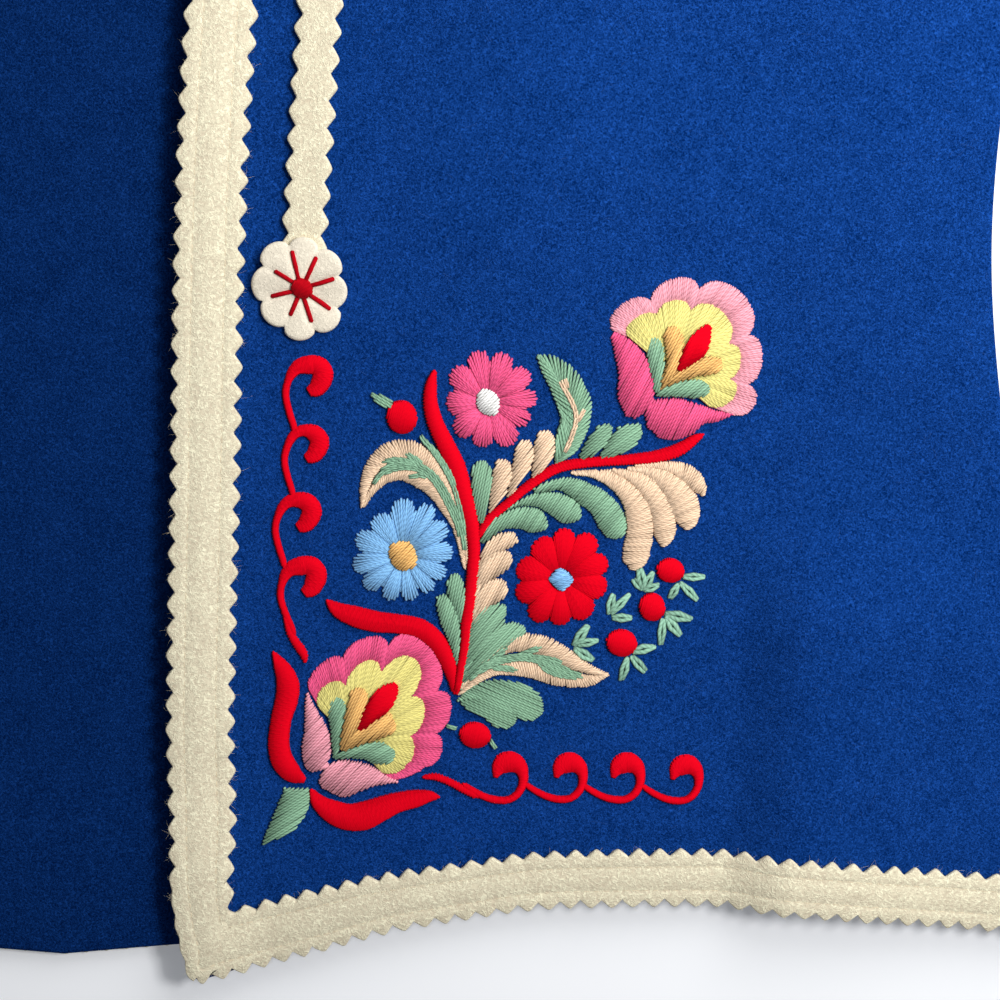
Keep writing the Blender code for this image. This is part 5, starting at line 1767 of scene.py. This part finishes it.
class VEST_OT_sewing(bpy.types.Operator):
    """Make the machine stitches of the bands"""

    bl_idname = "vest.sewing"
    bl_label = "Machine Sewing"

    def execute(self, context):
        thread = [named("sewing_thread")]
        for side, word in SIDES:
            rng = np.random.default_rng(61)
            stations = edge_band_stations(side)
            across = stations["inner"] - stations["outer"]
            share = (SEAM_IN / stations["width"])[:, None]
            lines = [sewn_line(stations["outer"] + across * place, rng) for place in (share, 1 - share)]
            base = on_front(side, FELT_GAP + setting("felt") - SEWING_DEPTH)
            thread_piece(f"band_sewing_{word}", np.vstack(lines), base, side, thread, rng, 1.0)
        return {"FINISHED"}


class VEST_OT_fibres(bpy.types.Operator):
    """Make the loose fibres of the wool and of the felt's cut edges"""

    bl_idname = "vest.fibres"
    bl_label = "Loose Fibres"

    def execute(self, context):
        count = context.scene.vest_sizes.hairs
        for side, word in SIDES:
            rng = np.random.default_rng(71 + side)
            self.on_wool(f"wool_fibres_{word}", side, count, rng)
            self.on_felt(f"felt_fibres_{word}", side, count, rng)
        return {"FINISHED"}

    def on_wool(self, name, side, count, rng):
        """Fibres strewn over a front between its band, its armhole and its side, pointing any way."""
        across, along = (rng.uniform(*limits, count) for limits in FIBRE_FIELD)
        limit = ARMHOLE_LIMIT + np.abs(along - ARMHOLE_MIDDLE) * ARMHOLE_SLANT
        limit += (along < UNDERARM) * BELOW_ARMHOLE
        off_band = across > np.interp(along, EDGE_LINE[:, 1], EDGE_LINE[:, 0]) + FIBRES_FROM_EDGE
        points = np.column_stack([across, along])[off_band & (across < limit)]
        turn = rng.uniform(0, 2 * math.pi, len(points))
        directions = np.column_stack([np.cos(turn), np.sin(turn)])
        lengths = rng.gamma(2.2, 0.7, len(points)) + 0.4
        hairs(name, points, directions, lengths, on_front(side, 0.0), WOOL_FIBRE, "wool_fibres", side, rng)

    def on_felt(self, name, side, count, rng):
        """Fibres along both cut edges of the edge band, pointing out of the felt."""
        stations = edge_band_stations(side)
        across = stations["inner"] - stations["outer"]
        parts, ways = [], []
        for cut, outwards in (("outer_cut", -across), ("inner_cut", across)):
            pick = rng.integers(0, len(across), count // 2)
            way = outwards[pick] / np.linalg.norm(outwards[pick], axis=1)[:, None]
            parts.append(stations[cut][pick] - way * rng.uniform(0.0, 0.5, len(pick))[:, None])
            turn = rng.normal(0, 0.7, len(pick))
            aside = np.column_stack([-way[:, 1], way[:, 0]])
            ways.append(way * np.cos(turn)[:, None] + aside * np.sin(turn)[:, None])
        points, directions = np.vstack(parts), np.vstack(ways)
        lengths = rng.gamma(2.0, 0.35, len(points)) + 0.3
        base = on_front(side, FELT_GAP + setting("felt") * 0.7)
        hairs(name, points, directions, lengths, base, FELT_FIBRE, "felt_fibres", side, rng)


class VEST_OT_stage(bpy.types.Operator):
    """Set the pale table, the soft light and the camera"""

    bl_idname = "vest.stage"
    bl_label = "Table, Light and Camera"

    def execute(self, context):
        scene = context.scene
        self.table(scene)
        world = bpy.data.worlds.new("soft_room")
        world.use_nodes = True
        background = world.node_tree.nodes["Background"]
        background.inputs["Color"].default_value = ROOM_COLOUR
        background.inputs["Strength"].default_value = ROOM_LIGHT
        scene.world = world
        for lamp in LAMPS:
            self.lamp(scene, *lamp)
        camera = bpy.data.cameras.new("camera")
        camera.lens = FOCAL_LENGTH
        camera.sensor_width = SENSOR
        camera.clip_start = 0.01
        eye = bpy.data.objects.new("camera", camera)
        scene.collection.objects.link(eye)
        eye.location = placed(np.array(EYE))
        eye.rotation_euler = (math.radians(EYE_TILT), 0, 0)
        scene.camera = eye
        scene.view_settings.view_transform = "Standard"
        return {"FINISHED"}

    def table(self, scene):
        """A level square of a pale, faintly clouded colour just under the bands, glowing faintly in its own
        colour: painted light that lifts the shadows on it.
        """
        made, tree, shader = new_material("pale_table", 0.6)
        cloud = noise(tree, node(tree, "ShaderNodeTexCoord").outputs["Object"], 6.0, 3.0, 0.5)
        colour = tuple(scene.vest_colours.table)
        clouded = ramp(tree, cloud, shaded(colour, 0.98), shaded(colour, 1.02))
        tree.links.new(clouded, shader.inputs["Base Color"])
        # Painted light: the table glows in its own colour to lighten the shadows on it.
        shader.inputs["Emission Color"].default_value = (*colour, 1.0)
        shader.inputs["Emission Strength"].default_value = TABLE_GLOW
        signs = np.array([(-1, -1), (1, -1), (1, 1), (-1, 1)])
        grid = np.column_stack([signs * TABLE_HALF, np.full(4, -TABLE_BELOW)])
        mesh = bpy.data.meshes.new("table_top")
        mesh.from_pydata(placed(grid).tolist(), [], [(0, 1, 2, 3)])
        mesh.materials.append(made)
        top = bpy.data.objects.new("table_top", mesh)
        scene.collection.objects.link(top)

    def lamp(self, scene, name, place, size, power, colour):
        """A square soft light aimed at the middle of the embroidery."""
        light = bpy.data.lights.new(name, "AREA")
        light.shape = "SQUARE"
        light.size = size
        light.energy = power
        light.color = colour
        obj = bpy.data.objects.new(name, light)
        scene.collection.objects.link(obj)
        obj.location = placed(np.array(place))
        x, y, z = placed(np.array(AIM)) - placed(np.array(place))
        obj.rotation_euler = (math.atan2(math.hypot(x, y), -z), 0, math.atan2(y, x) - QUARTER_TURN)


class VEST_PT_panel(bpy.types.Panel):
    """Sizes, colours and steps of the vest"""

    bl_idname = "VEST_PT_panel"
    bl_label = "Folk Vest"
    bl_space_type = "VIEW_3D"
    bl_region_type = "UI"
    bl_category = "Folk Vest"

    def draw(self, context):
        for settings in (context.scene.vest_sizes, context.scene.vest_colours):
            for name in settings.__annotations__:
                self.layout.prop(settings, name)
        for operator in OPERATORS:
            self.layout.operator(operator.bl_idname)


OPERATORS = (
    VEST_OT_cloths,
    VEST_OT_stage,
    VEST_OT_panels,
    VEST_OT_bands,
    VEST_OT_strips,
    VEST_OT_flowers,
    VEST_OT_embroidery,
    VEST_OT_sewing,
    VEST_OT_fibres,
)
CLASSES = (VestSizes, VestColours, *OPERATORS, VEST_PT_panel)


def register():
    """Add the settings, operators and panel to Blender."""
    for made in CLASSES:
        bpy.utils.register_class(made)
    bpy.types.Scene.vest_sizes = bpy.props.PointerProperty(type=VestSizes)
    bpy.types.Scene.vest_colours = bpy.props.PointerProperty(type=VestColours)


def unregister():
    """Take them out again."""
    del bpy.types.Scene.vest_colours
    del bpy.types.Scene.vest_sizes
    for made in reversed(CLASSES):
        bpy.utils.unregister_class(made)


def main():
    """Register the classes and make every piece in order."""
    register()
    for operator in OPERATORS:
        group_name, call = operator.bl_idname.split(".")
        getattr(getattr(bpy.ops, group_name), call)()


if __name__ == "__main__":
    main()
